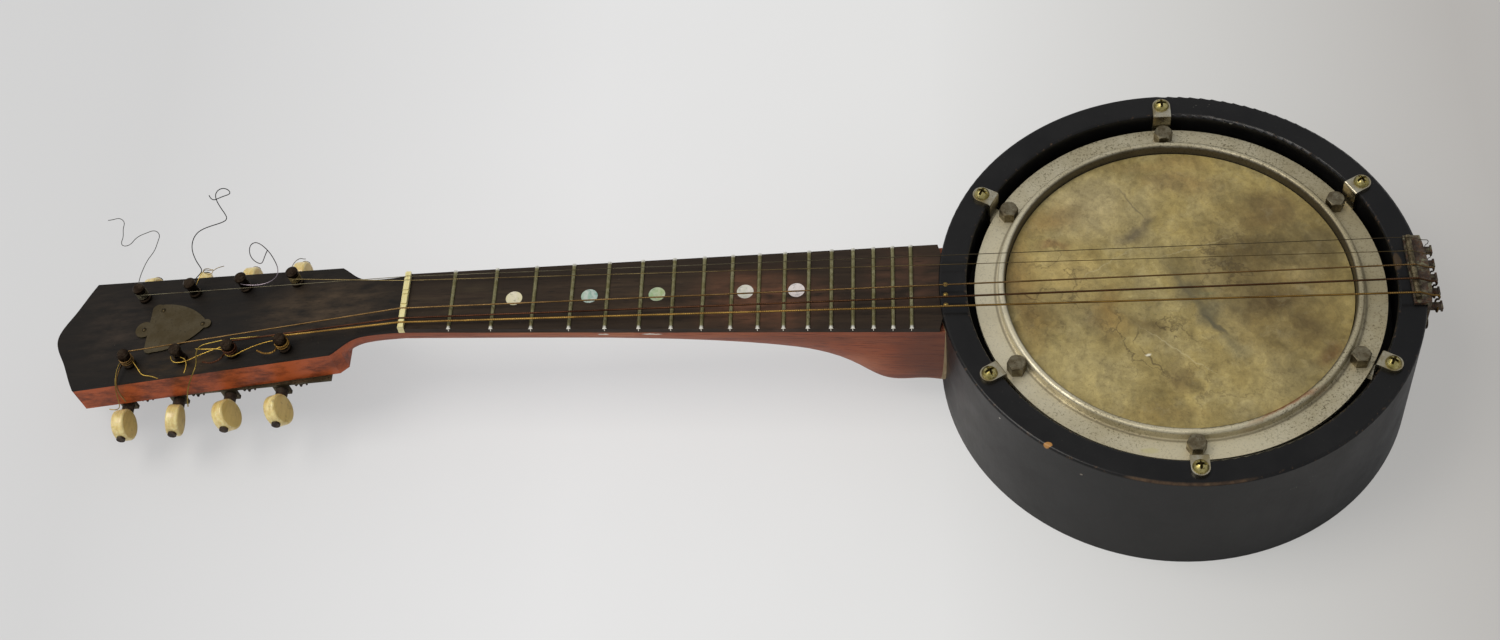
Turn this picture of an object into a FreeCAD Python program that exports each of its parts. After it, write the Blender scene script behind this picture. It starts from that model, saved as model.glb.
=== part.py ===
import FreeCAD, Part
import math
import os
import re
import Sketcher
from FreeCAD import Placement, Rotation, Vector

# A banjo mandolin lying on its back, in millimetres. +X runs from the headstock to the tail, +Z is up,
# and the origin is the centre of the drum pot's back, on the table.

# Driving dimensions: every length, angle in degrees and count that is set by itself.
sizes = (
    # The wooden pot
    ("pot_radius", 98.5), ("pot_height", 60.0), ("wall_thickness", 11.4), ("wall_round", 1.2),
    ("back_thickness", 4.0), ("ledge_thickness", 6.0), ("ledge_inset", 1.6),
    # The drum inside it: tone ring, vellum, flesh hoop and the flanged bezel
    ("ring_setback", 16.7), ("ring_wall", 2.8), ("ring_height", 13.0), ("ring_round", 0.8),
    ("skin_thickness", 0.4), ("skin_drop", 0.6), ("lip_rise", 1.7), ("hoop_radius", 1.25),
    ("bezel_clear", 0.8), ("bezel_wall", 3.0), ("bead_rise", 4.4), ("bead_round", 1.3),
    ("bezel_skirt", 5.0), ("flange_clear", 3.4), ("flange_thickness", 2.0), ("flange_drop", 6.0),
    # The six clips, their wood screws and the tension bolts
    ("clip_count", 6), ("clip_width", 7.5), ("clip_metal", 1.6), ("clip_gap", 0.1), ("clip_reach", 8.2),
    ("clip_drop", 2.0), ("clip_round", 1.0), ("clip_nose", 3.7), ("bolt_inset", 5.2), ("bolt_radius", 1.95),
    ("bolt_length", 10.5), ("bolt_flats", 7.0), ("bolt_head", 5.5), ("bolt_chamfer", 0.6),
    ("screw_inset", 7.2), ("screw_radius", 1.5), ("screw_length", 12.0), ("screw_head_radius", 3.3),
    ("screw_head", 2.6), ("recess_width", 1.1), ("recess_depth", 1.3),
    # The pole through the pot and the end button that draws it to the tail
    ("pole_radius", 6.5), ("pole_clear", 3.5), ("pole_reach", 22.0),
    ("button_neck_radius", 2.0), ("button_neck", 2.6), ("button_head_radius", 3.3), ("button_head", 2.0),
    ("button_grip", 18.0),
    # The tailpiece, its hooks and the rod that the strings bear on
    ("tail_width", 34.0), ("tail_metal", 1.4), ("tail_top", 8.2), ("tail_skirt", 14.0),
    ("tongue_width", 13.0), ("tongue_drop", 9.0), ("hook_count", 5), ("hook_pitch", 7.0),
    ("hook_width", 3.0), ("hook_metal", 1.6),
    ("hook_reach", 4.0), ("hook_drop", 5.5), ("bar_radius", 1.3), ("bar_length", 31.0), ("bar_inset", 0.3),
    # The neck, the fingerboard and what is on it
    ("scale_length", 340.0), ("board_tail", 11.36), ("board_drop", 1.0), ("board_thickness", 2.6),
    ("board_width_nut", 28.8), ("board_width_pot", 43.0), ("neck_depth", 13.4),
    ("shim_thickness", 2.6), ("neck_stations", 24), ("throat_stations", 9), ("fret_count", 17),
    ("fret_width", 1.8), ("fret_crown", 0.9),
    ("tang_width", 0.5), ("tang_depth", 1.5), ("dot_radius", 3.5), ("dot_depth", 1.0),
    ("nut_width", 2.6), ("nut_rise", 1.9), ("nut_lean", 0.7), ("slot_depth", 0.6),
    ("course_pitch", 7.3), ("pair_pitch", 2.1),
    # The headstock, its face and the blank plate on it
    ("head_tilt", 7.0), ("head_length", 159.0), ("head_thickness", 13.5), ("face_thickness", 1.0),
    ("head_width_shoulder", 45.0), ("head_width_end", 56.0), ("shoulder_reach", 30.0),
    ("crown_length", 13.0),
    ("plaque_length", 29.0), ("plaque_width", 25.0), ("plaque_thickness", 0.7), ("plaque_setback", 30.0),
    ("plaque_tab", 4.0), ("pin_radius", 1.1), ("pin_head", 0.6), ("pin_length", 6.0), ("pin_pitch", 5.2),
    ("pin_inset", 2.8),
    # The tuning machines: a plate for each side, and a post, gear, worm shaft and button for each string
    ("machine_count", 4), ("machine_pitch", 23.7), ("machine_last", 24.9), ("machine_offset", 17.3),
    ("plate_metal", 1.2), ("plate_width", 16.0), ("plate_margin", 16.0), ("lug_metal", 1.6),
    ("lug_width", 6.6),
    ("lug_span", 12.2), ("lug_below", 3.2), ("fit_gap", 0.06),
    ("post_radius", 2.7), ("post_waist", 2.2), ("post_rise", 8.9), ("post_hole", 0.8),
    ("spigot_radius", 1.8),
    ("gear_teeth", 14), ("gear_thickness", 2.6), ("gear_tip", 5.9), ("gear_root", 4.8), ("gear_drop", 3.6),
    ("gear_tooth", 0.7), ("gear_tooth_root", 1.15), ("shaft_radius", 1.5), ("worm_root", 1.7),
    ("worm_crest", 2.8), ("worm_gap", 0.3), ("worm_thread", 0.6), ("worm_thread_root", 1.0),
    ("worm_turns", 3.2),
    ("collar_radius", 2.6), ("collar_length", 3.4), ("knob_length", 13.4), ("knob_width", 14.4),
    ("knob_thickness", 5.6), ("knob_round", 1.5), ("rivet_radius", 1.9), ("rivet_head", 0.9),
    ("plate_screw_radius", 1.0), ("plate_screw_head", 1.9), ("plate_screw_length", 8.0),
    # The strings: plain steel, wound, and the turns of each round its post
    ("plain_radius", 0.15), ("wound_radius", 0.33), ("bass_radius", 0.42), ("turn_gap", 0.46),
    ("post_gap", 0.08), ("string_lift", 0.05), ("loop_gap", 0.5),
)
# Places that follow from the sizes: each piece of the drum keeps its clearance inside the wall, and the
# board, the pole and the hooks keep theirs under the rim. The heel ends halfway from the pole to the back,
# the neck is as long as its frets need, and the machines and the plate are set out from the head's corners.
derived = {
    "ring_radius": "pot_radius - wall_thickness - ring_setback",
    "bezel_bore": "ring_radius + bezel_clear",
    "flange_radius": "pot_radius - wall_thickness - flange_clear",
    "bolt_circle": "flange_radius - bolt_inset",
    "screw_circle": "pot_radius - screw_inset",
    "ring_foot": "pot_height - flange_drop - skin_drop - skin_thickness - ring_height",
    "pole_level": "ring_foot - ledge_thickness - pole_clear - pole_radius",
    "hook_level": "pot_height - hook_drop",
    "board_level": "pot_height - board_drop",
    "heel_lift": "(pole_level - pole_radius) / 2",
    "heel_depth": "board_level - board_thickness - heel_lift",
    "nut_distance": "pot_radius + scale_length * (1 - 2 ^ (-fret_count / 12)) + board_tail",
    "head_corner": "head_length - crown_length",
    "machine_first": "head_corner - machine_last - (machine_count - 1) * machine_pitch",
    "plaque_reach": "head_corner - plaque_setback - plaque_length",
}
# One overrun past a face serves all cuts.
overrun = 1.0

doc = FreeCAD.newDocument("banjo_mandolin")
sheet = doc.addObject("Spreadsheet::Sheet", "Sizes")
for row, (alias, number) in enumerate(sizes, 1):
    sheet.set("A%d" % row, alias)
    sheet.set("B%d" % row, str(number))
    sheet.setAlias("B%d" % row, alias)
doc.recompute()
aliases = {alias for alias, number in sizes}


def cells(text):
    """The expression with each size's name pointing into the sheet, and each derived place worked out."""
    def pointed(word):
        name = word.group()
        if name in derived:
            return "(" + cells(derived[name]) + ")"
        return "Sizes." + name if name in aliases else name
    return re.sub(r"[a-z_]+", pointed, text)


def mm(text):
    """The present value of an expression of sizes."""
    return float(sheet.evalExpression(cells(text)))


def origin_plane(body, role):
    """The body's own plane of that role."""
    return next(feature for feature in body.Origin.OriginFeatures if feature.Role == role)


def outline_sketch(body, role, name, outline, lift="0"):
    """A closed sketch whose corners are bound to expressions of sizes."""
    sketch = body.newObject("Sketcher::SketchObject", name)
    sketch.AttachmentSupport = [(origin_plane(body, role), "")]
    sketch.MapMode = "FlatFace"
    sketch.setExpression("AttachmentOffset.Base.z", cells(lift))
    corners = [(mm(across), mm(up)) for across, up in outline]
    last = len(corners)
    for index, corner in enumerate(corners):
        following = corners[(index + 1) % last]
        sketch.addGeometry(Part.LineSegment(Vector(*corner, 0), Vector(*following, 0)), False)
    for index in range(last):
        sketch.addConstraint(Sketcher.Constraint("Coincident", index, 2, (index + 1) % last, 1))
    for index, (across, up) in enumerate(outline):
        ways = (("DistanceX", across), ("DistanceY", up))
        for (kind, text), number in zip(ways, corners[index]):
            row = sketch.addConstraint(Sketcher.Constraint(kind, -1, 1, index, 1, number))
            sketch.setExpression("Constraints[%d]" % row, cells(text))
    return sketch


def new_body(name):
    """A PartDesign body, not yet labelled."""
    return doc.addObject("PartDesign::Body", name)


def turned(name, outline):
    """A body turned on the Z axis from a profile of radius and height."""
    body = new_body(name)
    sketch = outline_sketch(body, "XZ_Plane", name + "Profile", outline)
    turning = body.newObject("PartDesign::Revolution", name + "Turned")
    turning.Profile = sketch
    turning.ReferenceAxis = (sketch, ["V_Axis"])
    turning.Angle = 360
    body.Tip = turning
    doc.recompute()
    return body


def edges_where(shape, test):
    """The names of the shape's edges that pass the test."""
    return ["Edge%d" % number for number, edge in enumerate(shape.Edges, 1) if test(edge)]


def near(first, second):
    """Whether two lengths are the same but for rounding."""
    return abs(first - second) < 1e-6


def rounded(body, radius, test):
    """A fillet on the edges of the body's tip that pass the test."""
    base = body.Tip
    fillet = body.newObject("PartDesign::Fillet", body.Name + "Round")
    fillet.Base = (base, edges_where(base.Shape, test))
    fillet.setExpression("Radius", cells(radius))
    body.Tip = fillet
    doc.recompute()


def is_circle_at(edge, radius, level):
    """Whether the edge is a circle of that radius at that height."""
    curve = edge.Curve
    return isinstance(curve, Part.Circle) and near(curve.Radius, radius) and near(curve.Center.z, level)


def cylinder(name, radius, height, place=("0", "0", "0"), turn=None):
    """A bound cylinder, standing on its place, or turned from Z by a rotation."""
    piece = doc.addObject("Part::Cylinder", name)
    piece.setExpression("Radius", cells(radius))
    piece.setExpression("Height", cells(height))
    if turn:
        piece.Placement = Placement(Vector(), turn)
    for axis, text in zip("xyz", place):
        piece.setExpression("Placement.Base." + axis, cells(text))
    return piece


def cut(name, base, tools):
    """The base less every tool."""
    joined = doc.addObject("Part::MultiFuse", name + "Tools") if len(tools) > 1 else tools[0]
    if len(tools) > 1:
        joined.Shapes = tools
    piece = doc.addObject("Part::Cut", name)
    piece.Base = base
    piece.Tool = joined
    return piece


def shaped(name, shape, placement=Placement()):
    """A feature that holds a shape made from the sizes by hand."""
    piece = doc.addObject("Part::Feature", name)
    piece.Shape = shape
    piece.Placement = placement
    return piece


finished = []


def sub_part(label, piece):
    """Name the piece as one of the object's sub-parts."""
    piece.Label = label
    finished.append(piece)
    return piece


def line(start, end):
    return Part.LineSegment(start, end).toShape()


def bow(start, middle, end):
    return Part.Arc(start, middle, end).toShape()


def around(shape, angles):
    """One compound of the shape turned about Z to each angle."""
    copies = []
    for angle in angles:
        copy = shape.copy()
        copy.rotate(Vector(), Vector(0, 0, 1), angle)
        copies.append(copy)
    return Part.makeCompound(copies)


def around_at(circle, angle):
    """A place on a named circle about Z, as two expressions."""
    return "%s * cos(%s deg)" % (circle, angle), "%s * sin(%s deg)" % (circle, angle)


to_tail = Rotation(Vector(0, 1, 0), 90)
clip_count = int(mm("clip_count"))
clip_angles = [(index + 0.5) * 360.0 / clip_count for index in range(clip_count)]

# The wall of the pot: a turned wooden ring with softened edges, bored for the pole, the end button
# and the six wood screws.
wall = turned("Wall", (
    ("pot_radius - wall_thickness", "0"), ("pot_radius", "0"),
    ("pot_radius", "pot_height"), ("pot_radius - wall_thickness", "pot_height")))
rounded(wall, "wall_round", lambda edge: isinstance(edge.Curve, Part.Circle)
        and near(edge.Curve.Center.z, mm("pot_height")))
wall_bores = [
    cylinder("PoleBore", "pole_radius", "wall_thickness + 2 * wall_round",
             ("-pot_radius - wall_round", "0", "pole_level"), to_tail),
    cylinder("ButtonBore", "button_neck_radius", "wall_thickness + 2 * wall_round",
             ("pot_radius - wall_thickness - wall_round", "0", "pole_level"), to_tail)]
for number, angle in enumerate(clip_angles, 1):
    wall_bores.append(cylinder("ScrewBore%d" % number, "screw_radius", "screw_length + wall_round",
                               around_at("screw_circle", angle) + ("pot_height - screw_length",)))
pin_places = [("-(pot_radius - pin_inset)", "-%d * pin_pitch" % index) for index in range(3)]
for number, place in enumerate(pin_places, 1):
    wall_bores.append(cylinder("PinBore%d" % number, "pin_radius / 2", "pin_length + wall_round",
                               place + ("pot_height - pin_length",)))
sub_part("pot_wall", cut("PotWall", wall, wall_bores))

# The back: a wooden disc let into the wall, flush with its lower edge.
sub_part("pot_back", cylinder("PotBack", "pot_radius - wall_thickness", "back_thickness"))

# The ledge: a wooden ring glued inside the wall, which carries the tone ring.
ring_top = "(pot_height - flange_drop - skin_drop - skin_thickness)"
sub_part("ledge_ring", turned("Ledge", (
    ("ring_radius - ring_wall - ledge_inset", "ring_foot - ledge_thickness"),
    ("pot_radius - wall_thickness", "ring_foot - ledge_thickness"),
    ("pot_radius - wall_thickness", "ring_foot"),
    ("ring_radius - ring_wall - ledge_inset", "ring_foot"))))

# The tone ring: a brass hoop with an eased bearing edge, over which the vellum is stretched.
sub_part("tone_ring", turned("ToneRing", (
    ("ring_radius - ring_wall", "ring_foot"), ("ring_radius", "ring_foot"),
    ("ring_radius", ring_top + " - ring_round"), ("ring_radius - ring_round", ring_top),
    ("ring_radius - ring_wall + ring_round", ring_top),
    ("ring_radius - ring_wall", ring_top + " - ring_round"))))

# The vellum: flat over the ring, down its outside, and round the flesh hoop in a lip.
bezel_foot = "(pot_height - flange_drop - bezel_skirt)"
lip_floor = "(" + bezel_foot + " - 2 * hoop_radius)"
lip_wall = "(ring_radius + skin_thickness + 2 * hoop_radius)"
sub_part("vellum", turned("Vellum", (
    ("0", ring_top), ("ring_radius", ring_top), ("ring_radius", lip_floor + " - skin_thickness"),
    (lip_wall + " + skin_thickness", lip_floor + " - skin_thickness"),
    (lip_wall + " + skin_thickness", lip_floor + " + lip_rise"), (lip_wall, lip_floor + " + lip_rise"),
    (lip_wall, lip_floor), ("ring_radius + skin_thickness", lip_floor),
    ("ring_radius + skin_thickness", ring_top + " + skin_thickness"),
    ("0", ring_top + " + skin_thickness"))))

# The flesh hoop: the wire that the vellum's edge is lapped round.
hoop = doc.addObject("Part::Torus", "FleshHoop")
hoop.setExpression("Radius1", cells("ring_radius + skin_thickness + hoop_radius"))
hoop.setExpression("Radius2", cells("hoop_radius"))
hoop.setExpression("Placement.Base.z", cells(lip_floor + " + hoop_radius"))
sub_part("flesh_hoop", hoop)

# The bezel: a flat flange with a raised bead, which presses the flesh hoop down.
bead_top = "pot_height - flange_drop + bead_rise"
bezel = turned("Bezel", (
    ("bezel_bore", bezel_foot), ("bezel_bore + bezel_wall", bezel_foot),
    ("bezel_bore + bezel_wall", "pot_height - flange_drop - flange_thickness"),
    ("flange_radius", "pot_height - flange_drop - flange_thickness"),
    ("flange_radius", "pot_height - flange_drop"),
    ("bezel_bore + bezel_wall", "pot_height - flange_drop"), ("bezel_bore + bezel_wall", bead_top),
    ("bezel_bore", bead_top)))
rounded(bezel, "bead_round", lambda edge: is_circle_at(edge, mm("bezel_bore"), mm(bead_top))
        or is_circle_at(edge, mm("bezel_bore + bezel_wall"), mm(bead_top)))
under_flange = ("pot_height - flange_drop - flange_thickness * 1.5",)
flange_bores = [cylinder("FlangeBore%d" % number, "bolt_radius + clip_gap", "flange_thickness * 2",
                         around_at("bolt_circle", angle) + under_flange)
                for number, angle in enumerate(clip_angles, 1)]
sub_part("bezel", cut("BezelBored", bezel, flange_bores))

# The clips: a bent strip each, screwed on the rim, down inside the wall and under the flange.
clip_inner = "(pot_radius - wall_thickness - clip_gap)"
leg_top = "(pot_height - flange_drop - flange_thickness - clip_drop)"
clip = new_body("Clip")
clip_profile = outline_sketch(clip, "XZ_Plane", "ClipProfile", (
    ("bezel_bore + bezel_wall + clip_metal", leg_top + " - clip_metal"),
    (clip_inner, leg_top + " - clip_metal"), (clip_inner, "pot_height"),
    (clip_inner + " + clip_reach", "pot_height"), (clip_inner + " + clip_reach", "pot_height + clip_metal"),
    (clip_inner + " - clip_metal", "pot_height + clip_metal"),
    (clip_inner + " - clip_metal", leg_top), ("bezel_bore + bezel_wall + clip_metal", leg_top)))
clip_pad = clip.newObject("PartDesign::Pad", "ClipPad")
clip_pad.Profile = clip_profile
clip_pad.setExpression("Length", cells("clip_width"))
clip_pad.Midplane = True
clip.Tip = clip_pad
doc.recompute()
rounded(clip, "clip_round", lambda edge: len(edge.Vertexes) == 2 and all(
    near(vertex.X, mm(clip_inner + " - clip_metal")) and near(vertex.Z, mm("pot_height + clip_metal"))
    for vertex in edge.Vertexes))
rounded(clip, "clip_nose", lambda edge: len(edge.Vertexes) == 2 and all(
    near(vertex.X, mm(clip_inner + " + clip_reach")) for vertex in edge.Vertexes)
    and not near(edge.Vertexes[0].Z, edge.Vertexes[1].Z))
bored_clip = cut("ClipBored", clip, [
    cylinder("ClipScrewBore", "screw_radius + clip_gap", "clip_metal * 3",
             ("screw_circle", "0", "pot_height - clip_metal")),
    cylinder("ClipBoltBore", "bolt_radius + fit_gap", "clip_metal * 3",
             ("bolt_circle", "0", leg_top + " - clip_metal * 2"))])
doc.recompute()
sub_part("rim_clips", shaped("RimClips", around(bored_clip.Shape, clip_angles)))


def crossed_dome(radius, height, recess_width, recess_depth):
    """A screw's domed head with a crossed recess, standing on z = 0."""
    sphere_radius = (radius * radius + height * height) / (2 * height)
    dome = Part.makeSphere(sphere_radius, Vector(0, 0, height - sphere_radius))
    dome = dome.common(Part.makeCylinder(radius, height))
    for angle in (0, 90):
        bar = Part.makeBox(radius * 1.3, recess_width, recess_depth,
                           Vector(-radius * 0.65, -recess_width / 2, height - recess_depth))
        bar.rotate(Vector(), Vector(0, 0, 1), angle)
        dome = dome.cut(bar)
    return dome


# The six wood screws that hold the clips to the rim.
head = crossed_dome(mm("screw_head_radius"), mm("screw_head"), mm("recess_width"), mm("recess_depth"))
clip_top = mm("pot_height + clip_metal")
head.translate(Vector(0, 0, clip_top))
tip_length = 2 * mm("screw_radius")
shank_length = mm("screw_length + clip_metal") - tip_length
shank = Part.makeCylinder(mm("screw_radius"), shank_length, Vector(0, 0, clip_top - shank_length))
tip = Part.makeCone(0, mm("screw_radius"), tip_length, Vector(0, 0, mm("pot_height - screw_length")))
screw = head.fuse([shank, tip]).removeSplitter()
screw.translate(Vector(mm("screw_circle"), 0, 0))
sub_part("clip_screws", shaped("ClipScrews", around(screw, clip_angles)))

# The tension bolts: a hexagon head on the flange, and a shank down through the clip's lower leg.
for number, angle in enumerate(clip_angles, 1):
    spot = around_at("bolt_circle", angle)
    hexagon = doc.addObject("Part::Prism", "BoltHexagon%d" % number)
    hexagon.Polygon = 6
    hexagon.setExpression("Circumradius", cells("bolt_flats / sqrt(3)"))
    hexagon.setExpression("Height", cells("bolt_head"))
    bevel = doc.addObject("Part::Cone", "BoltBevel%d" % number)
    bevel.setExpression("Radius1", cells("bolt_flats / 2 + bolt_head - bolt_chamfer * 0.2"))
    bevel.setExpression("Radius2", cells("bolt_flats / 2 - bolt_chamfer * 0.2"))
    bevel.setExpression("Height", cells("bolt_head"))
    crown = doc.addObject("Part::Common", "BoltCrown%d" % number)
    crown.Base = hexagon
    crown.Tool = bevel
    stem = cylinder("BoltStem%d" % number, "bolt_radius", "bolt_length")
    bolt = doc.addObject("Part::Fuse", "TensionBolt%d" % number)
    bolt.Base = crown
    bolt.Tool = stem
    for piece in (hexagon, bevel):
        for axis, text in zip("xyz", spot + ("pot_height - flange_drop",)):
            piece.setExpression("Placement.Base." + axis, cells(text))
    for axis, text in zip("xyz", spot + ("pot_height - flange_drop - bolt_length",)):
        stem.setExpression("Placement.Base." + axis, cells(text))
    sub_part("tension_bolt_%d" % number, bolt)

# The pole: from a mortise in the heel, through the wall, to the inside of the tail.
pole = cylinder("Pole", "pole_radius",
                "pot_radius + pole_reach + sqrt((pot_radius - wall_thickness)^2 - pole_radius^2)",
                ("-pot_radius - pole_reach", "0", "pole_level"), to_tail)
pole_bore = cylinder("PoleEndBore", "button_neck_radius", "button_grip",
                     ("pot_radius - wall_thickness - button_grip", "0", "pole_level"), to_tail)
sub_part("perch_pole", cut("PerchPole", pole, [pole_bore]))

# The end button: a headed screw through the tailpiece and the wall into the pole.
tail_face = "(pot_radius + tail_metal)"
button_stem = cylinder("EndButtonStem", "button_neck_radius",
                       "button_grip + wall_thickness + tail_metal + button_neck",
                       ("pot_radius - wall_thickness - button_grip", "0", "pole_level"), to_tail)
button_head = cylinder("EndButtonHead", "button_head_radius", "button_head",
                       (tail_face + " + button_neck", "0", "pole_level"), to_tail)
end_button = doc.addObject("Part::Fuse", "EndButtonWhole")
end_button.Base = button_stem
end_button.Tool = button_head
doc.recompute()
end_round = doc.addObject("Part::Fillet", "EndButton")
end_round.Base = end_button
far_face = mm(tail_face + " + button_neck + button_head")
far_rim = edges_where(end_button.Shape, lambda edge: isinstance(edge.Curve, Part.Circle)
                      and near(edge.Curve.Center.x, far_face))
end_round.Edges = [(int(name[4:]), mm("button_head") / 3, mm("button_head") / 3) for name in far_rim]
sub_part("end_button", end_round)

# The tailpiece: a skirt bent to the wall with a tongue down to the end button, a leaf on the rim's
# top, and a row of hooks that point outwards.
outer = mm(tail_face)
half_tail = mm("tail_width") / 2
half_tongue = mm("tongue_width") / 2
leaf_top = mm("pot_height + tail_metal")
skirt_foot = mm("pot_height - tail_skirt")
tongue_foot = mm("pole_level - tongue_drop")
tail_outline = [Vector(0, -half_tail, leaf_top), Vector(0, half_tail, leaf_top),
                Vector(0, half_tail, skirt_foot), Vector(0, half_tongue, tongue_foot + half_tongue)]
tail_wire = Part.Wire([line(first, second) for first, second in zip(tail_outline, tail_outline[1:])] + [
    bow(tail_outline[-1], Vector(0, 0, tongue_foot), Vector(0, -half_tongue, tongue_foot + half_tongue)),
    line(Vector(0, -half_tongue, tongue_foot + half_tongue), Vector(0, -half_tail, skirt_foot)),
    line(Vector(0, -half_tail, skirt_foot), tail_outline[0])])
tail_blade = Part.Face(tail_wire).extrude(Vector(2 * outer, 0, 0))
shell = Part.makeCylinder(outer, leaf_top).cut(Part.makeCylinder(mm("pot_radius"), leaf_top))
leaf = Part.makeBox(mm("tail_top"), mm("tail_width"), mm("tail_metal"),
                    Vector(outer - mm("tail_top"), -half_tail, mm("pot_height")))
leaf = leaf.common(Part.makeCylinder(outer, leaf_top))
tailpiece = shell.common(tail_blade).fuse(leaf)
hook_count = int(mm("hook_count"))
hook_places = [(index - (hook_count - 1) / 2) * mm("hook_pitch") for index in range(hook_count)]
hook_tip = outer + mm("hook_reach")
hook_foot = mm("hook_level - hook_metal / 2")
for place in hook_places:
    root = math.sqrt(outer * outer - place * place) - mm("tail_metal") / 2
    finger = Part.makeBox(hook_tip - root, mm("hook_width"), mm("hook_metal"),
                          Vector(root, place - mm("hook_width") / 2, hook_foot))
    lip = Part.makeBox(mm("hook_metal") / 2, mm("hook_width") * 1.3, mm("hook_metal") * 1.5,
                       Vector(hook_tip - mm("hook_metal") / 2, place - mm("hook_width") * 0.65,
                              mm("hook_level") - mm("hook_metal") * 0.75))
    tailpiece = tailpiece.fuse([finger, lip])
button_hole = Part.makeCylinder(mm("button_neck_radius"), 2 * outer, Vector(0, 0, mm("pole_level")),
                                Vector(1, 0, 0))
tailpiece = tailpiece.cut(button_hole).removeSplitter()
sub_part("tailpiece", shaped("Tailpiece", tailpiece))

# The rod across the tailpiece, which the strings bend over.
bar = cylinder("TailBar", "bar_radius", "bar_length",
               (tail_face + " - tail_top + bar_inset + bar_radius", "-bar_length / 2",
                "pot_height + tail_metal + bar_radius"), Rotation(Vector(1, 0, 0), -90))
sub_part("tail_bar", bar)


def board_half_width(distance):
    """Half the fingerboard's width at a distance from the nut."""
    share = distance / mm("nut_distance - pot_radius")
    return (mm("board_width_nut") + share * mm("board_width_pot - board_width_nut")) / 2


def eased(rows, place, column):
    """The value of a table's column at a place, on a smooth curve that never overshoots its rows."""
    places = [row[0] for row in rows]
    values = [row[column] for row in rows]
    slopes = [(after - before) / (end - start) for start, end, before, after in zip(
        places, places[1:], values, values[1:])]
    bends = [slopes[0]]
    for before, after in zip(slopes, slopes[1:]):
        bends.append(2 * before * after / (before + after) if before * after > 0 else 0.0)
    bends.append(slopes[-1])
    index = max(number for number in range(len(rows) - 1) if places[number] <= place or number == 0)
    span = places[index + 1] - places[index]
    part = (place - places[index]) / span
    left = 1 - part
    return (values[index] * (1 + 2 * part) * left ** 2 + bends[index] * span * part * left ** 2
            + values[index + 1] * part ** 2 * (3 - 2 * part) - bends[index + 1] * span * part ** 2 * left)


def even_shares(rows, count):
    """Evenly spaced places over a table's span."""
    first, last = rows[0][0], rows[-1][0]
    return [first + (last - first) * index / (count - 1) for index in range(count)]


def neck_section(along, half_width, depth, fullness_share, top):
    """The neck's section at a place along X: flat on top and rounded below."""
    def spot(across, down):
        return Vector(along, across * half_width, top - down * depth)
    left = Part.BezierCurve()
    left.setPoles([spot(-1, 0), spot(-1, fullness_share), spot(-fullness_share, 1), spot(0, 1)])
    right = Part.BezierCurve()
    right.setPoles([spot(0, 1), spot(fullness_share, 1), spot(1, fullness_share), spot(1, 0)])
    return Part.Wire([left.toShape(), right.toShape(), line(spot(1, 0), spot(-1, 0))])


# The neck and headstock: one piece of mahogany. Along the neck, each row is the share of the way from
# the pot to the nut, the share of the heel's extra depth, and how full the section's corners are.
neck_shares = (
    (-0.03, 1.0, 0.86), (0.0, 1.0, 0.86), (0.074, 0.995, 0.86), (0.104, 0.965, 0.85), (0.126, 0.865, 0.83),
    (0.148, 0.72, 0.80), (0.181, 0.53, 0.75), (0.221, 0.39, 0.70), (0.265, 0.29, 0.66), (0.33, 0.205, 0.62),
    (0.42, 0.115, 0.59), (0.52, 0.05, 0.57), (0.65, 0.012, 0.56), (0.82, 0.0, 0.56), (1.0, 0.0, 0.56))
neck_top = mm("board_level - board_thickness")
neck_run = mm("nut_distance + nut_width - pot_radius")
sections = []
for along_share in even_shares(neck_shares, int(mm("neck_stations"))):
    depth_share = eased(neck_shares, along_share, 1)
    fullness_share = eased(neck_shares, along_share, 2)
    along = -mm("pot_radius") - along_share * neck_run
    half_width = board_half_width(along + mm("nut_distance"))
    depth = mm("neck_depth") + depth_share * mm("heel_depth - neck_depth")
    sections.append(neck_section(along, half_width, depth, fullness_share, neck_top))
neck_stick = Part.makeLoft(sections, True)

# The headstock leans back from the nut. Its own frame has its origin on the face at the back of the
# nut, with X towards the pot, and it is laid on the tilted plane at the end.
head_frame = Placement(Vector(-mm("nut_distance + nut_width"), 0, neck_top + mm("face_thickness")),
                       Rotation(Vector(0, 1, 0), -mm("head_tilt")))
waist_shares = ((0.0, 0.0), (0.3, -0.03), (0.55, 0.02), (0.68, 0.14), (0.78, 0.36), (0.88, 0.66), (1.0, 1.0))
nut_half = mm("board_width_nut") / 2
shoulder_half = mm("head_width_shoulder") / 2
reach = mm("shoulder_reach")
head_sections = []
waist = [(share, eased(waist_shares, share, 1))
         for share in even_shares(waist_shares, int(mm("throat_stations")))]
for reach_share, spread_share in waist:
    half_width = nut_half + spread_share * (shoulder_half - nut_half)
    head_sections.append(neck_section(-reach_share * reach, half_width, mm("head_thickness"),
                                      0.56 + 0.42 * max(spread_share, 0) ** 4, -mm("face_thickness")))
throat = Part.makeLoft(head_sections, True)


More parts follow.
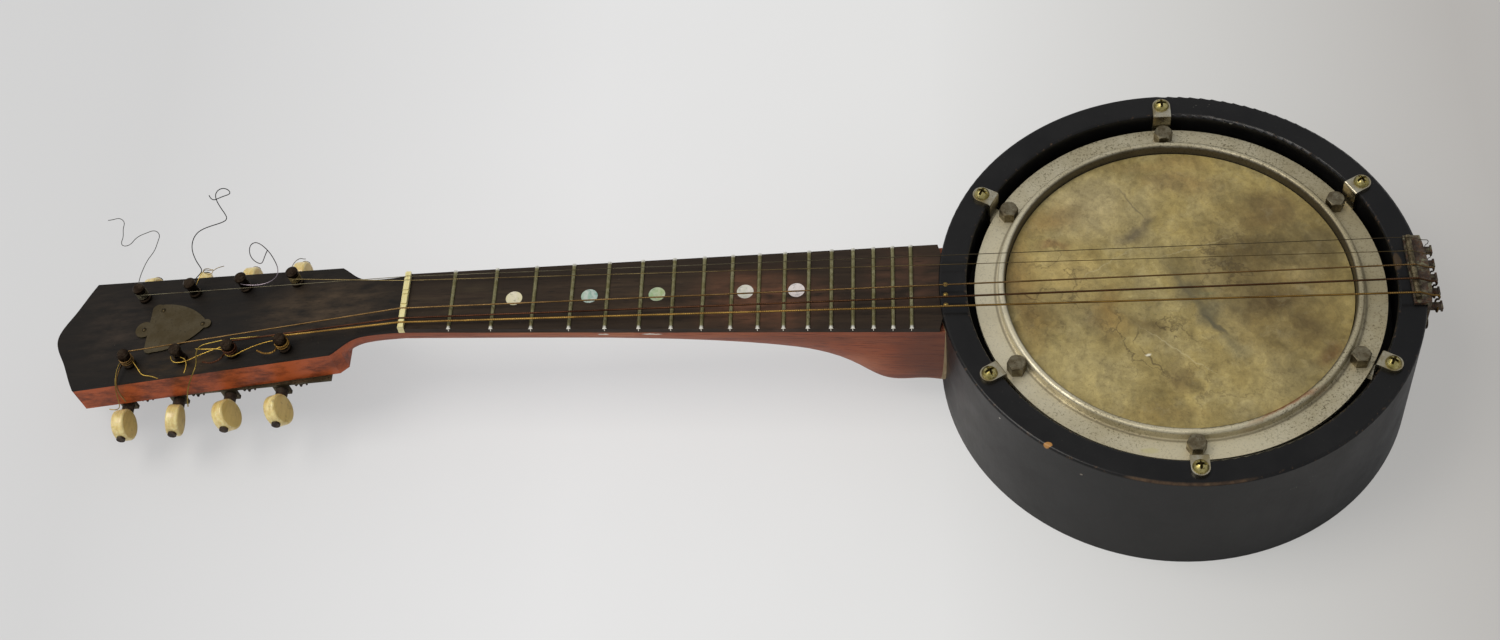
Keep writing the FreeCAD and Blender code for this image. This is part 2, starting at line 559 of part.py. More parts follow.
def head_outline(start_share):
    """The face's outline: a waist, square shoulders, and an ogee end. Starts at a share of the reach."""
    rows = [(share, spread) for share, spread in waist if share >= start_share]
    upper = [Vector(-share * reach, nut_half + spread * (shoulder_half - nut_half), 0)
             for share, spread in rows]
    corner = Vector(-mm("head_corner"), mm("head_width_end") / 2, 0)
    crown = mm("head_length - head_corner")
    half_end = mm("head_width_end") / 2
    hollow = Vector(-mm("head_corner") - crown * 0.27, half_end * 0.76, 0)
    swell = Vector(-mm("head_corner") - crown * 0.58, half_end * 0.46, 0)
    brow = Vector(-mm("head_corner") - crown * 0.9, half_end * 0.19, 0)
    end = Vector(-mm("head_length"), 0, 0)

    def mirrored(point):
        return Vector(point.x, -point.y, 0)
    side = Part.BSplineCurve()
    side.interpolate(upper)
    lower = Part.BSplineCurve()
    lower.interpolate([mirrored(point) for point in reversed(upper)])
    ogee = Part.BSplineCurve()
    ogee.interpolate([corner, hollow, swell, brow, end, mirrored(brow), mirrored(swell), mirrored(hollow),
                      mirrored(corner)])
    return Part.Face(Part.Wire([side.toShape(), line(upper[-1], corner), ogee.toShape(),
                                line(mirrored(corner), mirrored(upper[-1])), lower.toShape(),
                                line(mirrored(upper[0]), upper[0])]))


machine_count = int(mm("machine_count"))
machine_reach = [mm("machine_first") + index * mm("machine_pitch") for index in range(machine_count)]
machines = [(number, reach_at, side) for number, (side, reach_at) in enumerate(
    [(side, reach_at) for side in (1, -1) for reach_at in machine_reach], 1)]
wood_depth = mm("head_thickness + face_thickness")
block = head_outline(0.78)
block.translate(Vector(0, 0, -wood_depth))
block = block.extrude(Vector(0, 0, mm("head_thickness")))
head_wood = throat.fuse(block)
face = head_outline(0.0)
face.translate(Vector(0, 0, -mm("face_thickness")))
face = face.extrude(Vector(0, 0, mm("face_thickness")))
post_gap = mm("fit_gap") + mm("post_radius")
post_bores = []
for number, reach_at, side in machines:
    bore_foot = Vector(-reach_at, side * mm("machine_offset"), -wood_depth - overrun)
    post_bores.append(Part.makeCylinder(post_gap, wood_depth + 2 * overrun, bore_foot))
head_wood = head_wood.cut(post_bores)
face = face.cut(post_bores)
head_wood.Placement = head_frame
neck = neck_stick.fuse(head_wood)
heel_cone = Part.makeCone(mm("pot_radius + shim_thickness"), mm("pot_radius"), mm("pot_height"))
mortise = Part.makeCylinder(mm("pole_radius"), mm("pot_radius + pole_reach"), Vector(0, 0, mm("pole_level")),
                            Vector(-1, 0, 0))
neck = neck.cut([heel_cone, mortise]).removeSplitter()

# The shim: a pale wedge between the heel and the wall, thicker towards the back.
shim_corner = Vector(-mm("pot_radius + shim_thickness"), -mm("pot_radius") / 2, neck_top - mm("heel_depth"))
shim_band = Part.makeBox(mm("pot_radius"), mm("pot_radius"), mm("heel_depth"), shim_corner)
shim = neck_stick.common(heel_cone).common(shim_band)
shim = shim.cut([Part.makeCylinder(mm("pot_radius"), mm("pot_height")), mortise])
sub_part("neck_shim", shaped("NeckShim", shim))

# The fingerboard: a thin dark board on the neck, slotted for the frets and sunk for the dots.
board = new_body("Board")
board_sketch = outline_sketch(board, "XY_Plane", "BoardOutline", (
    ("-nut_distance", "-board_width_nut / 2"), ("-pot_radius", "-board_width_pot / 2"),
    ("-pot_radius + wall_thickness / 2", "0"), ("-pot_radius", "board_width_pot / 2"),
    ("-nut_distance", "board_width_nut / 2")), "board_level - board_thickness")
board_pad = board.newObject("PartDesign::Pad", "BoardPad")
board_pad.Profile = board_sketch
board_pad.setExpression("Length", cells("board_thickness"))
board.Tip = board_pad
doc.recompute()
fret_places = [-mm("nut_distance") + mm("scale_length") * (1 - 2 ** (-number / 12.0))
               for number in range(1, int(mm("fret_count")) + 1)]
board_cuts = [Part.makeCylinder(mm("pot_radius"), mm("pot_height"))]
frets = []
crown_radius = (mm("fret_width") ** 2 / 4 + mm("fret_crown") ** 2) / (2 * mm("fret_crown"))
for place in fret_places:
    half = board_half_width(place + mm("nut_distance"))
    tang = Part.makeBox(mm("tang_width"), 2 * half, mm("tang_depth"),
                        Vector(place - mm("tang_width") / 2, -half, mm("board_level - tang_depth")))
    crown = Part.makeCylinder(crown_radius, 2 * half,
                              Vector(place, -half, mm("board_level + fret_crown") - crown_radius),
                              Vector(0, 1, 0))
    above = Part.makeBox(mm("fret_width") * 2, 2 * half, mm("fret_crown"),
                         Vector(place - mm("fret_width"), -half, mm("board_level")))
    frets.append(crown.common(above).fuse(tang).removeSplitter())
    board_cuts.append(tang)
# The dots lie between the frets whose numbers are given.
dots = []
for before in (2, 4, 6, 9, 11):
    place = (fret_places[before - 1] + fret_places[before]) / 2
    dots.append(Part.makeCylinder(mm("dot_radius"), mm("dot_depth"),
                                  Vector(place, 0, mm("board_level - dot_depth"))))
doc.recompute()
sub_part("fingerboard", shaped("Fingerboard", board.Shape.cut(board_cuts + dots)))
sub_part("frets", shaped("Frets", Part.makeCompound(frets)))
sub_part("position_dots", shaped("PositionDots", Part.makeCompound(dots)))

# The nut: bone, leaning a little, with a slot for each of the eight strings.
nut_back = -mm("nut_distance + nut_width")
nut_top = mm("board_level + nut_rise")
nut_wire = [Vector(nut_back, 0, neck_top), Vector(-mm("nut_distance"), 0, neck_top),
            Vector(-mm("nut_distance"), 0, nut_top), Vector(nut_back + mm("nut_lean"), 0, nut_top),
            Vector(nut_back, 0, nut_top - mm("nut_lean"))]
nut_face = Part.Face(Part.makePolygon(nut_wire + nut_wire[:1]))
nut = nut_face.extrude(Vector(0, 2 * nut_half, 0))
nut.translate(Vector(0, -nut_half, 0))
courses = [(index - 1.5) * mm("course_pitch") + pair * mm("pair_pitch") / 2
           for index in range(3, -1, -1) for pair in (1, -1)]
slot_radii = [mm("plain_radius")] * 4 + [mm("wound_radius")] * 2 + [mm("bass_radius")] * 2
for place, radius in zip(courses, slot_radii):
    groove = radius + mm("string_lift")
    nut = nut.cut(Part.makeBox(mm("nut_width") + 2 * overrun, 2 * groove, mm("slot_depth") + overrun,
                               Vector(nut_back - overrun, place - groove, nut_top - mm("slot_depth"))))
sub_part("nut", shaped("Nut", nut))

# The blank plate on the head's face: a rounded shield with a tab, held by three small pins.
plaque_near = -mm("plaque_reach")
plaque_far = -mm("plaque_reach + plaque_length")
half_plaque = mm("plaque_width") / 2
length = mm("plaque_length")
upper_far = Vector(plaque_far, half_plaque * 0.88, 0)
upper_mid = Vector(plaque_far + length * 0.14, half_plaque, 0)
upper_near = Vector(plaque_near - length * 0.1, half_plaque * 0.17, 0)


def across(point):
    return Vector(point.x, -point.y, 0)


plaque_wire = Part.Wire([
    line(across(upper_far), upper_far),
    bow(upper_far, Vector(plaque_far + length * 0.04, half_plaque * 0.99, 0), upper_mid),
    bow(upper_mid, Vector(plaque_far + length * 0.58, half_plaque * 0.76, 0), upper_near),
    bow(upper_near, Vector(plaque_near, 0, 0), across(upper_near)),
    bow(across(upper_near), Vector(plaque_far + length * 0.58, -half_plaque * 0.76, 0), across(upper_mid)),
    bow(across(upper_mid), Vector(plaque_far + length * 0.04, -half_plaque * 0.99, 0), across(upper_far))])
plaque = Part.Face(plaque_wire).extrude(Vector(0, 0, mm("plaque_thickness")))
tab_spot = Vector(plaque_far - mm("plaque_tab") / 2, 0, 0)
plaque = plaque.fuse(Part.makeCylinder(mm("plaque_tab"), mm("plaque_thickness"), tab_spot))
plaque_pins = [tab_spot, Vector(plaque_near - length * 0.13, 0, 0),
               Vector(plaque_far + length * 0.18, half_plaque * 0.75, 0)]
for spot in plaque_pins:
    plaque = plaque.cut(Part.makeCylinder(mm("pin_radius") / 2, mm("plaque_thickness"), spot))
sub_part("nameplate", shaped("Nameplate", plaque.removeSplitter(), head_frame))

# The head's dark face: a thin veneer up to the nut, bored for the posts and the plate's pins.
pin_foot = Vector(0, 0, mm("plaque_thickness - pin_length"))
plaque_bores = [Part.makeCylinder(mm("pin_radius") / 2, mm("pin_length"), spot + pin_foot)
                for spot in plaque_pins]
nut_block = Part.makeBox(mm("nut_width"), 2 * nut_half, mm("board_thickness + nut_rise"),
                         Vector(nut_back, -nut_half, neck_top))
face = face.cut(plaque_bores)
face.Placement = head_frame
face = face.cut(nut_block)
sub_part("head_face", shaped("HeadFace", face))


def pin_at(spot):
    """A small round-headed pin standing on its spot, with its shank below."""
    shank = Part.makeCylinder(mm("pin_radius") / 2, mm("pin_length"), spot - Vector(0, 0, mm("pin_length")))
    ball = mm("pin_radius") ** 2 / (2 * mm("pin_head")) + mm("pin_head") / 2
    dome = Part.makeSphere(ball, spot + Vector(0, 0, mm("pin_head") - ball))
    dome = dome.common(Part.makeCylinder(mm("pin_radius"), mm("pin_head"), spot))
    return dome.fuse(shank).removeSplitter()


# The pins: three in the plate on the head, and three in the rim's top at the end of the fingerboard, in a
# row from its middle towards -Y.
pins = []
for spot in plaque_pins:
    pin = pin_at(spot + Vector(0, 0, mm("plaque_thickness")))
    pin.Placement = head_frame
    pins.append(pin)
rim_pins = [pin_at(Vector(mm(along), mm(across_it), mm("pot_height"))) for along, across_it in pin_places]
sub_part("brass_pins", shaped("BrassPins", Part.makeCompound(pins + rim_pins)))

# The machine plates: one strip under each side of the head, with two lugs for each worm shaft.
plate_top = -wood_depth
plate_foot = plate_top - mm("plate_metal")
worm_level = plate_foot - mm("gear_drop")
worm_offset = mm("gear_tip + worm_root + worm_gap")
lug_half = mm("lug_span") / 2
plate_screw_spots = []
for side_name, side in (("upper", 1), ("lower", -1)):
    middle = side * mm("machine_offset")
    low = machine_reach[0] - mm("plate_margin")
    high = machine_reach[-1] + worm_offset + mm("lug_width / 2 + plate_screw_head * 2.6")
    plate = Part.makeBox(high - low, mm("plate_width"), mm("plate_metal"),
                         Vector(-high, middle - mm("plate_width") / 2, plate_foot))
    lugs = []
    bores = []
    for reach_at in machine_reach:
        shaft_x = -(reach_at + worm_offset)
        for lug_y in (middle + lug_half, middle - lug_half - mm("lug_metal")):
            corner = Vector(shaft_x - mm("lug_width") / 2, lug_y, worm_level - mm("lug_below"))
            lugs.append(Part.makeBox(mm("lug_width"), mm("lug_metal"), mm("gear_drop + lug_below"), corner))
        shaft_start = Vector(shaft_x, middle - mm("plate_width"), worm_level)
        bores.append(Part.makeCylinder(mm("shaft_radius + fit_gap"), mm("plate_width") * 2, shaft_start,
                                       Vector(0, 1, 0)))
        bores.append(Part.makeCylinder(post_gap, mm("plate_metal"), Vector(-reach_at, middle, plate_foot)))
    between = [reach_at - mm("machine_pitch") / 4 for reach_at in machine_reach[1:]]
    for reach_at in [low + mm("plate_screw_head") * 1.5] + between + [high - mm("plate_screw_head") * 1.3]:
        spot = Vector(-reach_at, middle - side * mm("plate_width") * 0.32, plate_foot)
        plate_screw_spots.append(spot)
        bores.append(Part.makeCylinder(mm("plate_screw_radius"), mm("plate_metal"), spot))
    plate = plate.fuse(lugs).cut(bores).removeSplitter()
    sub_part("tuner_plate_" + side_name, shaped("TunerPlate" + side_name.title(), plate, head_frame))

# The plates' wood screws, driven up from below.
plate_screws = []
for spot in plate_screw_spots:
    dome = crossed_dome(mm("plate_screw_head"), mm("plate_screw_radius"), mm("recess_width") / 2,
                        mm("recess_width") / 2)
    dome.rotate(Vector(), Vector(1, 0, 0), 180)
    dome.translate(spot)
    shank = Part.makeCylinder(mm("plate_screw_radius"), mm("plate_screw_length"), spot)
    plate_screws.append(dome.fuse(shank).removeSplitter())
sub_part("plate_screws", shaped("PlateScrews", Part.makeCompound(plate_screws), head_frame))
screw_bores = [Part.makeCylinder(mm("plate_screw_radius"), mm("plate_screw_length"), spot)
               for spot in plate_screw_spots]
for bore in screw_bores + plaque_bores:
    bore.Placement = head_frame
sub_part("neck", shaped("Neck", neck.cut(screw_bores + plaque_bores + [face, nut_block])))


def post_shape():
    """A string post with a waist, a spigot for the gear and a riveted end, on its own axis."""
    radius, waist = mm("post_radius"), mm("post_waist")
    top = mm("post_rise")
    shoulder = worm_level + mm("gear_thickness") / 2
    spigot = mm("spigot_radius")
    foot = worm_level - mm("gear_thickness") / 2
    rivet = foot - mm("rivet_head")
    ease = radius - waist
    rim = mm("rivet_radius") + ease
    corners = [(0, rivet), (rim, rivet), (rim, foot), (spigot, foot), (spigot, shoulder), (radius, shoulder),
               (radius, top * 0.14), (waist, top * 0.2), (waist, top * 0.7), (radius, top * 0.8),
               (radius, top - ease * 1.4), (radius - ease * 1.4, top), (0, top)]
    wire = Part.makePolygon([Vector(across, 0, up) for across, up in corners + corners[:1]])
    post = Part.Face(wire).revolve(Vector(), Vector(0, 0, 1), 360)
    hole = Part.makeCylinder(mm("post_hole"), 4 * radius, Vector(0, -2 * radius, top * 0.48),
                             Vector(0, 1, 0))
    return post.cut(hole)


def gear_shape():
    """The post's gear, with a gap between two teeth facing the worm, towards -X."""
    teeth = int(mm("gear_teeth"))
    root, tip_radius = mm("gear_root"), mm("gear_tip")
    foot = worm_level - mm("gear_thickness") / 2
    rise = Vector(0, 0, mm("gear_thickness"))
    blank = Part.makeCylinder(root, mm("gear_thickness"), Vector(0, 0, foot))
    half_tip, half_root = mm("gear_tooth") / 2, mm("gear_tooth_root") / 2
    tooth_points = [Vector(root * 0.9, -half_root, foot), Vector(tip_radius, -half_tip, foot),
                    Vector(tip_radius, half_tip, foot), Vector(root * 0.9, half_root, foot)]
    tooth = Part.Face(Part.makePolygon(tooth_points + tooth_points[:1])).extrude(rise)
    crowns = []
    for index in range(teeth):
        copy = tooth.copy()
        copy.rotate(Vector(), Vector(0, 0, 1), 180 + (index + 0.5) * 360.0 / teeth)
        crowns.append(copy)
    bore = Part.makeCylinder(mm("spigot_radius"), mm("gear_thickness"), Vector(0, 0, foot))
    return blank.fuse(crowns).cut(bore).removeSplitter()


def worm_shape():
    """The worm's core and thread on the Y axis, with the thread at y = 0 on the side towards +X."""
    rolling = (mm("gear_tip") + mm("gear_root")) / 2 + mm("worm_gap") / 3
    pitch = 2 * math.pi * rolling / mm("gear_teeth")
    turns = mm("worm_turns")
    height = pitch * turns
    crest, root = mm("worm_crest"), mm("worm_root")
    sunk = root - mm("worm_gap") / 2
    path = Part.makeHelix(pitch, height, sunk)
    half_foot, half_crest = mm("worm_thread_root") / 2, mm("worm_thread") / 2
    profile = Part.makePolygon([Vector(sunk, 0, -half_foot), Vector(crest, 0, -half_crest),
                                Vector(crest, 0, half_crest), Vector(sunk, 0, half_foot),
                                Vector(sunk, 0, -half_foot)])
    thread = Part.Wire(path.Edges).makePipeShell([profile], True, True)
    thread.translate(Vector(0, 0, -height / 2))
    thread.rotate(Vector(), Vector(0, 0, 1), -turns * 180)
    core = Part.makeCylinder(root, mm("lug_span - 2 * fit_gap"), Vector(0, 0, mm("fit_gap") - lug_half))
    worm = core.fuse(thread).removeSplitter()
    worm.rotate(Vector(), Vector(1, 0, 0), -90)
    return worm


def shaft_shape(side):
    """The worm with its shaft: journals in both lugs, a collar and the stem in the button."""
    outward = Vector(0, side, 0)
    inner_end = lug_half + mm("lug_metal") + mm("fit_gap")
    collar_from = lug_half + mm("lug_metal") + mm("fit_gap")
    stem_end = collar_from + mm("collar_length + knob_length")
    stem = Part.makeCylinder(mm("shaft_radius"), inner_end + stem_end, outward * -inner_end, outward)
    collar = Part.makeCylinder(mm("collar_radius"), mm("collar_length"), outward * collar_from, outward)
    end_cap = Part.makeCylinder(mm("rivet_radius"), mm("rivet_head"),
                                outward * -(inner_end + mm("rivet_head")), outward)
    far_cap = Part.makeCylinder(mm("rivet_radius"), mm("rivet_head"), outward * stem_end, outward)
    return worm_shape().fuse([stem, collar, end_cap, far_cap]).removeSplitter()


def knob_shape(side, angle):
    """An oval button with flat faces and rounded rims, turned on its shaft by an angle."""
    start = lug_half + mm("lug_metal") + mm("fit_gap") + mm("collar_length")
    middle = start + mm("knob_length") / 2
    long_half, short_half = mm("knob_width") / 2, mm("knob_length") / 2
    thick = mm("knob_thickness")
    if long_half >= short_half:
        oval = Part.Ellipse(Vector(long_half, 0, 0), Vector(0, short_half, 0), Vector())
    else:
        oval = Part.Ellipse(Vector(0, short_half, 0), Vector(-long_half, 0, 0), Vector())
    knob = Part.Face(Part.Wire(oval.toShape())).extrude(Vector(0, 0, thick))
    knob.translate(Vector(0, 0, -thick / 2))
    rims = [edge for edge in knob.Edges if len(edge.Vertexes) == 1]
    knob = knob.makeFillet(mm("knob_round"), rims)
    knob.rotate(Vector(), Vector(0, 1, 0), angle)
    knob.translate(Vector(0, side * middle, 0))
    bore = Part.makeCylinder(mm("shaft_radius"), 4 * middle, Vector(0, -2 * middle, 0), Vector(0, 1, 0))
    return knob.cut(bore)


# The eight machines. Each button is left at its own angle, counted about +Y from lying flat.
knob_angles = (91.0, 90.0, 114.0, 84.0, 73.0, 73.0, 103.0, 88.0)
post_and_gear = Part.makeCompound([post_shape(), gear_shape()])
shafts = {side: shaft_shape(side) for side in (1, -1)}
for (number, reach_at, side), angle in zip(machines, knob_angles):
    middle = side * mm("machine_offset")
    post_frame = head_frame.multiply(Placement(Vector(-reach_at, middle, 0), Rotation()))
    worm_spot = Vector(-(reach_at + worm_offset), middle, worm_level)
    worm_frame = head_frame.multiply(Placement(worm_spot, Rotation()))
    sub_part("post_%d" % number, shaped("Post%d" % number, post_and_gear.copy(), post_frame))
    sub_part("worm_shaft_%d" % number, shaped("WormShaft%d" % number, shafts[side].copy(), worm_frame))
    sub_part("button_%d" % number, shaped("Button%d" % number, knob_shape(side, angle), worm_frame))


def unit(vector):
    return Vector(vector).normalize()


def smooth_edges(knots):
    """Tangent arcs and lines through knots, each a point and the direction of travel there."""
    edges = []

    def run(start, heading, end):
        chord = end - start
        bend = heading.getAngle(chord)
        if bend < 1e-4:
            return line(start, end)
        along = unit(chord)
        lift = unit(heading - along * heading.dot(along))
        return bow(start, (start + end) * 0.5 + lift * (chord.Length / 2 * math.tan(bend / 2)), end)
    for (start, leaving), (end, arriving) in zip(knots, knots[1:]):
        span = end - start
        if leaving.getAngle(span) < 1e-4 and arriving.getAngle(span) < 1e-4:
            edges.append(line(start, end))
            continue
        total = leaving + arriving
        gain = 2 * (1 - leaving.dot(arriving))
        if gain < 1e-9:
            reach_out = span.dot(span) / (4 * span.dot(arriving))
        else:
            slope = span.dot(total)
            reach_out = (-slope + math.sqrt(slope * slope + gain * span.dot(span))) / gain
        joint = (start + end + (leaving - arriving) * reach_out) * 0.5
        edges.append(run(start, leaving, joint))
        back = run(end, arriving * -1, joint)
        edges.append(back)
    return edges


def tube(knots, radius):
    """A round wire along the knots, and the path that it follows."""
    edges = smooth_edges(knots)
    path = Part.Wire(Part.__sortEdges__(edges))
    start, heading = knots[0]
    ring = Part.Wire(Part.makeCircle(radius, start, heading))
    wire = path.makePipeShell([ring], True, False)
    return wire, path


def least_gap(path, radius):
    """The least gap of a winding to itself, measured between points along it that aren't neighbours."""
    points = []
    for edge in path.Edges:
        straight = isinstance(edge.Curve, Part.Line)
        points += edge.discretize(2 if straight else 7)[:-1]
    travelled = [0.0]
    for before, after in zip(points, points[1:]):
        travelled.append(travelled[-1] + before.distanceToPoint(after))
    clear_of = 10 * radius + mm("post_waist")
    least = path.Length
    for first, point in enumerate(points):
        for second in range(first + 1, len(points)):
            if travelled[second] - travelled[first] > clear_of:
                least = min(least, point.distanceToPoint(points[second]))
    return least - 2 * radius


def route_knots(points, first_heading):
    """Free wire through points chosen by hand, heading along its neighbours at each."""
    knots = []
    for index, point in enumerate(points):
        if index == 0:
            heading = first_heading
        elif index == len(points) - 1:
            heading = unit(points[-1] - points[-2])
        else:
            heading = unit(unit(points[index + 1] - point) + unit(point - points[index - 1]))
        knots.append((point, heading))
    return knots


# The nut's slots, and the strings that are there, in the order of the hooks from +Y. Each row: name, its
# nut slot, its post, its wire, the loose end beyond the turns, as hand-chosen steps from the post in the
# head's frame, and the turns.
slot_names = ("e_outer", "e_inner", "a_outer", "a_inner", "d_outer", "d_inner", "g_inner", "g_outer")
string_rows = (
    ("string_e_outer", "e_outer", "post_4", "plain_radius",
     ((-3.0, 7.0, 4.0), (-1.0, 15.0, 5.5), (2.5, 24.0, 6.0), (1.5, 32.0, 6.5), (-5.0, 31.0, 7.0),
      (-13.0, 26.0, 6.5), (-15.5, 34.0, 6.0), (-18.0, 42.0, 6.0), (-24.0, 41.5, 7.0)), 4.25),
    ("string_e_inner", "e_inner", "post_1", "plain_radius",
     ((-2.0, 5.5, 4.5), (1.0, 8.0, 6.0), (5.0, 7.0, 7.0)), 4.25),
    ("string_d", "d_inner", "post_8", "wound_radius",
     ((-3.0, -5.0, 2.8), (-3.6, -9.5, 1.6), (-3.8, -12.0, -2.0), (-3.5, -12.8, -9.0)), 3.25),
    ("string_g_inner", "g_inner", "post_6", "bass_radius",
     ((-3.6, -3.5, 3.0), (-7.0, -6.0, 3.6), (-11.5, -5.5, 4.0)), 2.25),
    ("string_g_outer", "g_outer", "post_5", "bass_radius",
     ((-3.6, -3.2, 3.2), (-7.0, -4.2, 3.8), (-11.0, -2.5, 4.2)), 2.25),
)
bar_x = mm(tail_face + " - tail_top + bar_inset + bar_radius")
bar_top = mm("pot_height + tail_metal + 2 * bar_radius")
for (name, slot, post, radius_name, loose, turns), hook_y in zip(string_rows, reversed(hook_places)):
    radius = mm(radius_name)
    reach_at, side = next(machine[1:] for machine in machines if post == "post_%d" % machine[0])
    nut_y = courses[slot_names.index(slot)]
    around_hook = mm("hook_width") / 2 + radius + mm("loop_gap")
    under_hook = mm("hook_level") - mm("hook_metal") / 2 - radius - mm("loop_gap")
    over_hook = mm("hook_level") + mm("hook_metal") / 2 + radius + mm("loop_gap")
    loop_x = (outer + hook_tip - mm("hook_metal") / 2) / 2
    lift = radius + mm("string_lift")
    crest = bar_top + lift
    over_leaf = Vector(outer - mm("hook_reach") / 2, hook_y, leaf_top + radius + 1.8 * mm("loop_gap"))
    bar_far = Vector(bar_x + mm("bar_radius") / 2, hook_y, crest)
    bar_near = Vector(bar_x - mm("bar_radius") / 2, hook_y, crest)
    slot_floor = nut_top - mm("slot_depth")
    nut_near = Vector(-mm("nut_distance"), nut_y, slot_floor + lift)
    nut_far = Vector(nut_back, nut_y, slot_floor + lift)
    coil = mm("post_waist") + radius + mm("post_gap")
    climb = 2 * radius + mm("turn_gap")
    coil_top = mm("post_rise") * 0.7 - radius - mm("string_lift")
    # The straight run from the nut touches the winding's circle on the side of the head's middle.
    from_nut = head_frame.inverse().multVec(nut_far)
    to_axis = Vector(-reach_at, side * mm("machine_offset"), from_nut.z) - from_nut
    turn_in = math.atan2(to_axis.y, to_axis.x) + side * math.asin(coil / to_axis.Length)
    start_angle = turn_in + side * math.pi / 2
    touch = head_frame.multVec(Vector(-reach_at + coil * math.cos(start_angle),
                                      side * mm("machine_offset") + coil * math.sin(start_angle), coil_top))
    knots = [
        (Vector(loop_x, hook_y - around_hook * 0.7, over_hook), unit(Vector(0, -1, -1))),
        (Vector(loop_x, hook_y - around_hook, mm("hook_level")), Vector(0, 0, -1)),
        (Vector(loop_x, hook_y, under_hook), Vector(0, 1, 0)),
        (Vector(loop_x, hook_y + around_hook, mm("hook_level")), Vector(0, 0, 1)),
        (Vector(loop_x + radius, hook_y, leaf_top - mm("tail_metal") / 2), Vector(0, 0, 1)),
        (over_leaf, unit(bar_far - over_leaf)),
        (bar_far, unit(bar_far - over_leaf)),
        (bar_near, unit(nut_near - bar_near)),
        (nut_near, unit(nut_near - bar_near)),
        (nut_far, unit(touch - nut_far)),
        (touch, unit(touch - nut_far)),
    ]
    # Round the post in quarter turns, going down a turn's pitch each time round.
    post_foot = Vector(-reach_at, side * mm("machine_offset"), 0)
    slope = -climb / (2 * math.pi * coil)
    for step in range(1, int(round(turns * 4)) + 1):
        angle = start_angle - side * step * math.pi / 2
        level = coil_top - climb * step / 4.0
        spot = post_foot + Vector(coil * math.cos(angle), coil * math.sin(angle), level)
        heading = unit(Vector(side * math.sin(angle), -side * math.cos(angle), slope))
        knots.append((head_frame.multVec(spot), head_frame.Rotation.multVec(heading)))
    loose_points = [head_frame.multVec(post_foot + Vector(*step)) for step in loose]
    knots += route_knots([knots[-1][0]] + loose_points, knots[-1][1])[1:]
    string, path = tube(knots, radius)
    volume_ratio = string.Volume / (math.pi * radius * radius * path.Length)
    print("%s: length %.1f, volume over section times length %.4f, least gap to itself %.2f" % (
        name, path.Length, volume_ratio, least_gap(path, radius)))
    sub_part(name, shaped(name.title().replace("_", ""), string))

doc.recompute()

# Every object must be sound before anything is written.
faults = []
for piece in doc.Objects:
    if {"Invalid", "Error"} & set(piece.State):
        faults.append("%s is in a failed state" % piece.Label)
for piece in finished:
    if piece.Shape.isNull() or not piece.Shape.isValid() or not piece.Shape.Solids:
        faults.append("%s has no valid solid" % piece.Label)
if faults:
    raise SystemExit("\n".join(faults))
os.makedirs("parts", exist_ok=True)
for piece in finished:
    piece.Shape.exportStep("parts/%s.step" % piece.Label)
print("%d sub-parts written" % len(finished))
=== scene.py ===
# %% [markdown]
# A banjo mandolin, dressed over its solid model.
#
# The solid model already gives every part its place and shape: the wooden drum pot, the vellum in its
# metal bezel, the neck, the geared tuning machines and the five strings that are left. This lesson loads
# it as a fixed frame and gives every surface the finish that age has left on it. It adds the pieces that
# are easier to shape here: the oval tuning buttons and the short ends of old wire.

# %% Load the solid model
import bpy
import bmesh
from math import cos, pi, radians, sin
from mathutils import Matrix, Vector


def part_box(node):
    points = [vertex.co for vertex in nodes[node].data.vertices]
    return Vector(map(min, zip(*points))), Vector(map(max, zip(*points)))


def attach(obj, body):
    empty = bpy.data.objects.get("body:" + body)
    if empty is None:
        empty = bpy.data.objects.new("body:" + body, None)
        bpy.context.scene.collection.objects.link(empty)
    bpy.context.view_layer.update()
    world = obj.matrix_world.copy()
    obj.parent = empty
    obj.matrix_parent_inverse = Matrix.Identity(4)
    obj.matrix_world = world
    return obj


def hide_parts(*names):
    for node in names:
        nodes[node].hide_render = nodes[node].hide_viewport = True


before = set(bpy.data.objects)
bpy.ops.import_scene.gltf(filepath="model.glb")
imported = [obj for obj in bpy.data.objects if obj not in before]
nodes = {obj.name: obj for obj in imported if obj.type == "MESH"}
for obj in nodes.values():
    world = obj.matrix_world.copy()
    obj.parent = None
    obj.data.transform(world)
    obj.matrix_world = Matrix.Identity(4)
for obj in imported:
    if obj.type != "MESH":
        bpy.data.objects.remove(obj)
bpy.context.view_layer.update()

# %% [markdown]
# Everything here is measured on the real object in millimetres, while Blender counts in metres. One
# number turns the first into the second, so that a size in this file reads like one on a drawing.

# %% Millimetres
mm = 0.001


def point(x, y, z):
    """A place given in millimetres."""
    return Vector((x, y, z)) * mm


# %% [markdown]
# The camera stands in front of the instrument and looks down on it, as the photographer did. Its place
# and its three directions were worked out from the drum's circles and the spacing of the frets. A
# camera object looks along its own minus Z, so its matrix holds right, up and backward as columns. The
# small shift is there because the photograph is not centred on the lens.

# %% Camera
photo_width, photo_height = 1500, 640
lens_pixels, centre_row = 2207.66, 230.875
eye = point(-93.39, -539.92, 801.65)
right = Vector((0.99546, 0.02982, -0.09036))
up = Vector((0.03137, 0.79369, 0.60751))
forward = Vector((-0.08984, 0.60759, -0.78915))

lens = bpy.data.cameras.new("photo_camera")
lens.sensor_width = 36
lens.lens = lens_pixels / photo_width * lens.sensor_width
lens.shift_y = (centre_row - photo_height / 2) / photo_width
lens.clip_start = 0.02
camera = bpy.data.objects.new("photo_camera", lens)
camera.matrix_world = Matrix([(right[i], up[i], -forward[i], eye[i]) for i in range(3)] + [(0, 0, 0, 1)])
bpy.context.scene.collection.objects.link(camera)
bpy.context.scene.camera = camera
print("lens:", round(lens.lens, 1), "mm")

# %% [markdown]
# A material is a small machine of nodes. One helper adds any node: it sets the node's own options, then
# fills its inputs with numbers, colours or links from other nodes. Colours are written as they look on
# a screen and turned into the linear light that Blender works with.

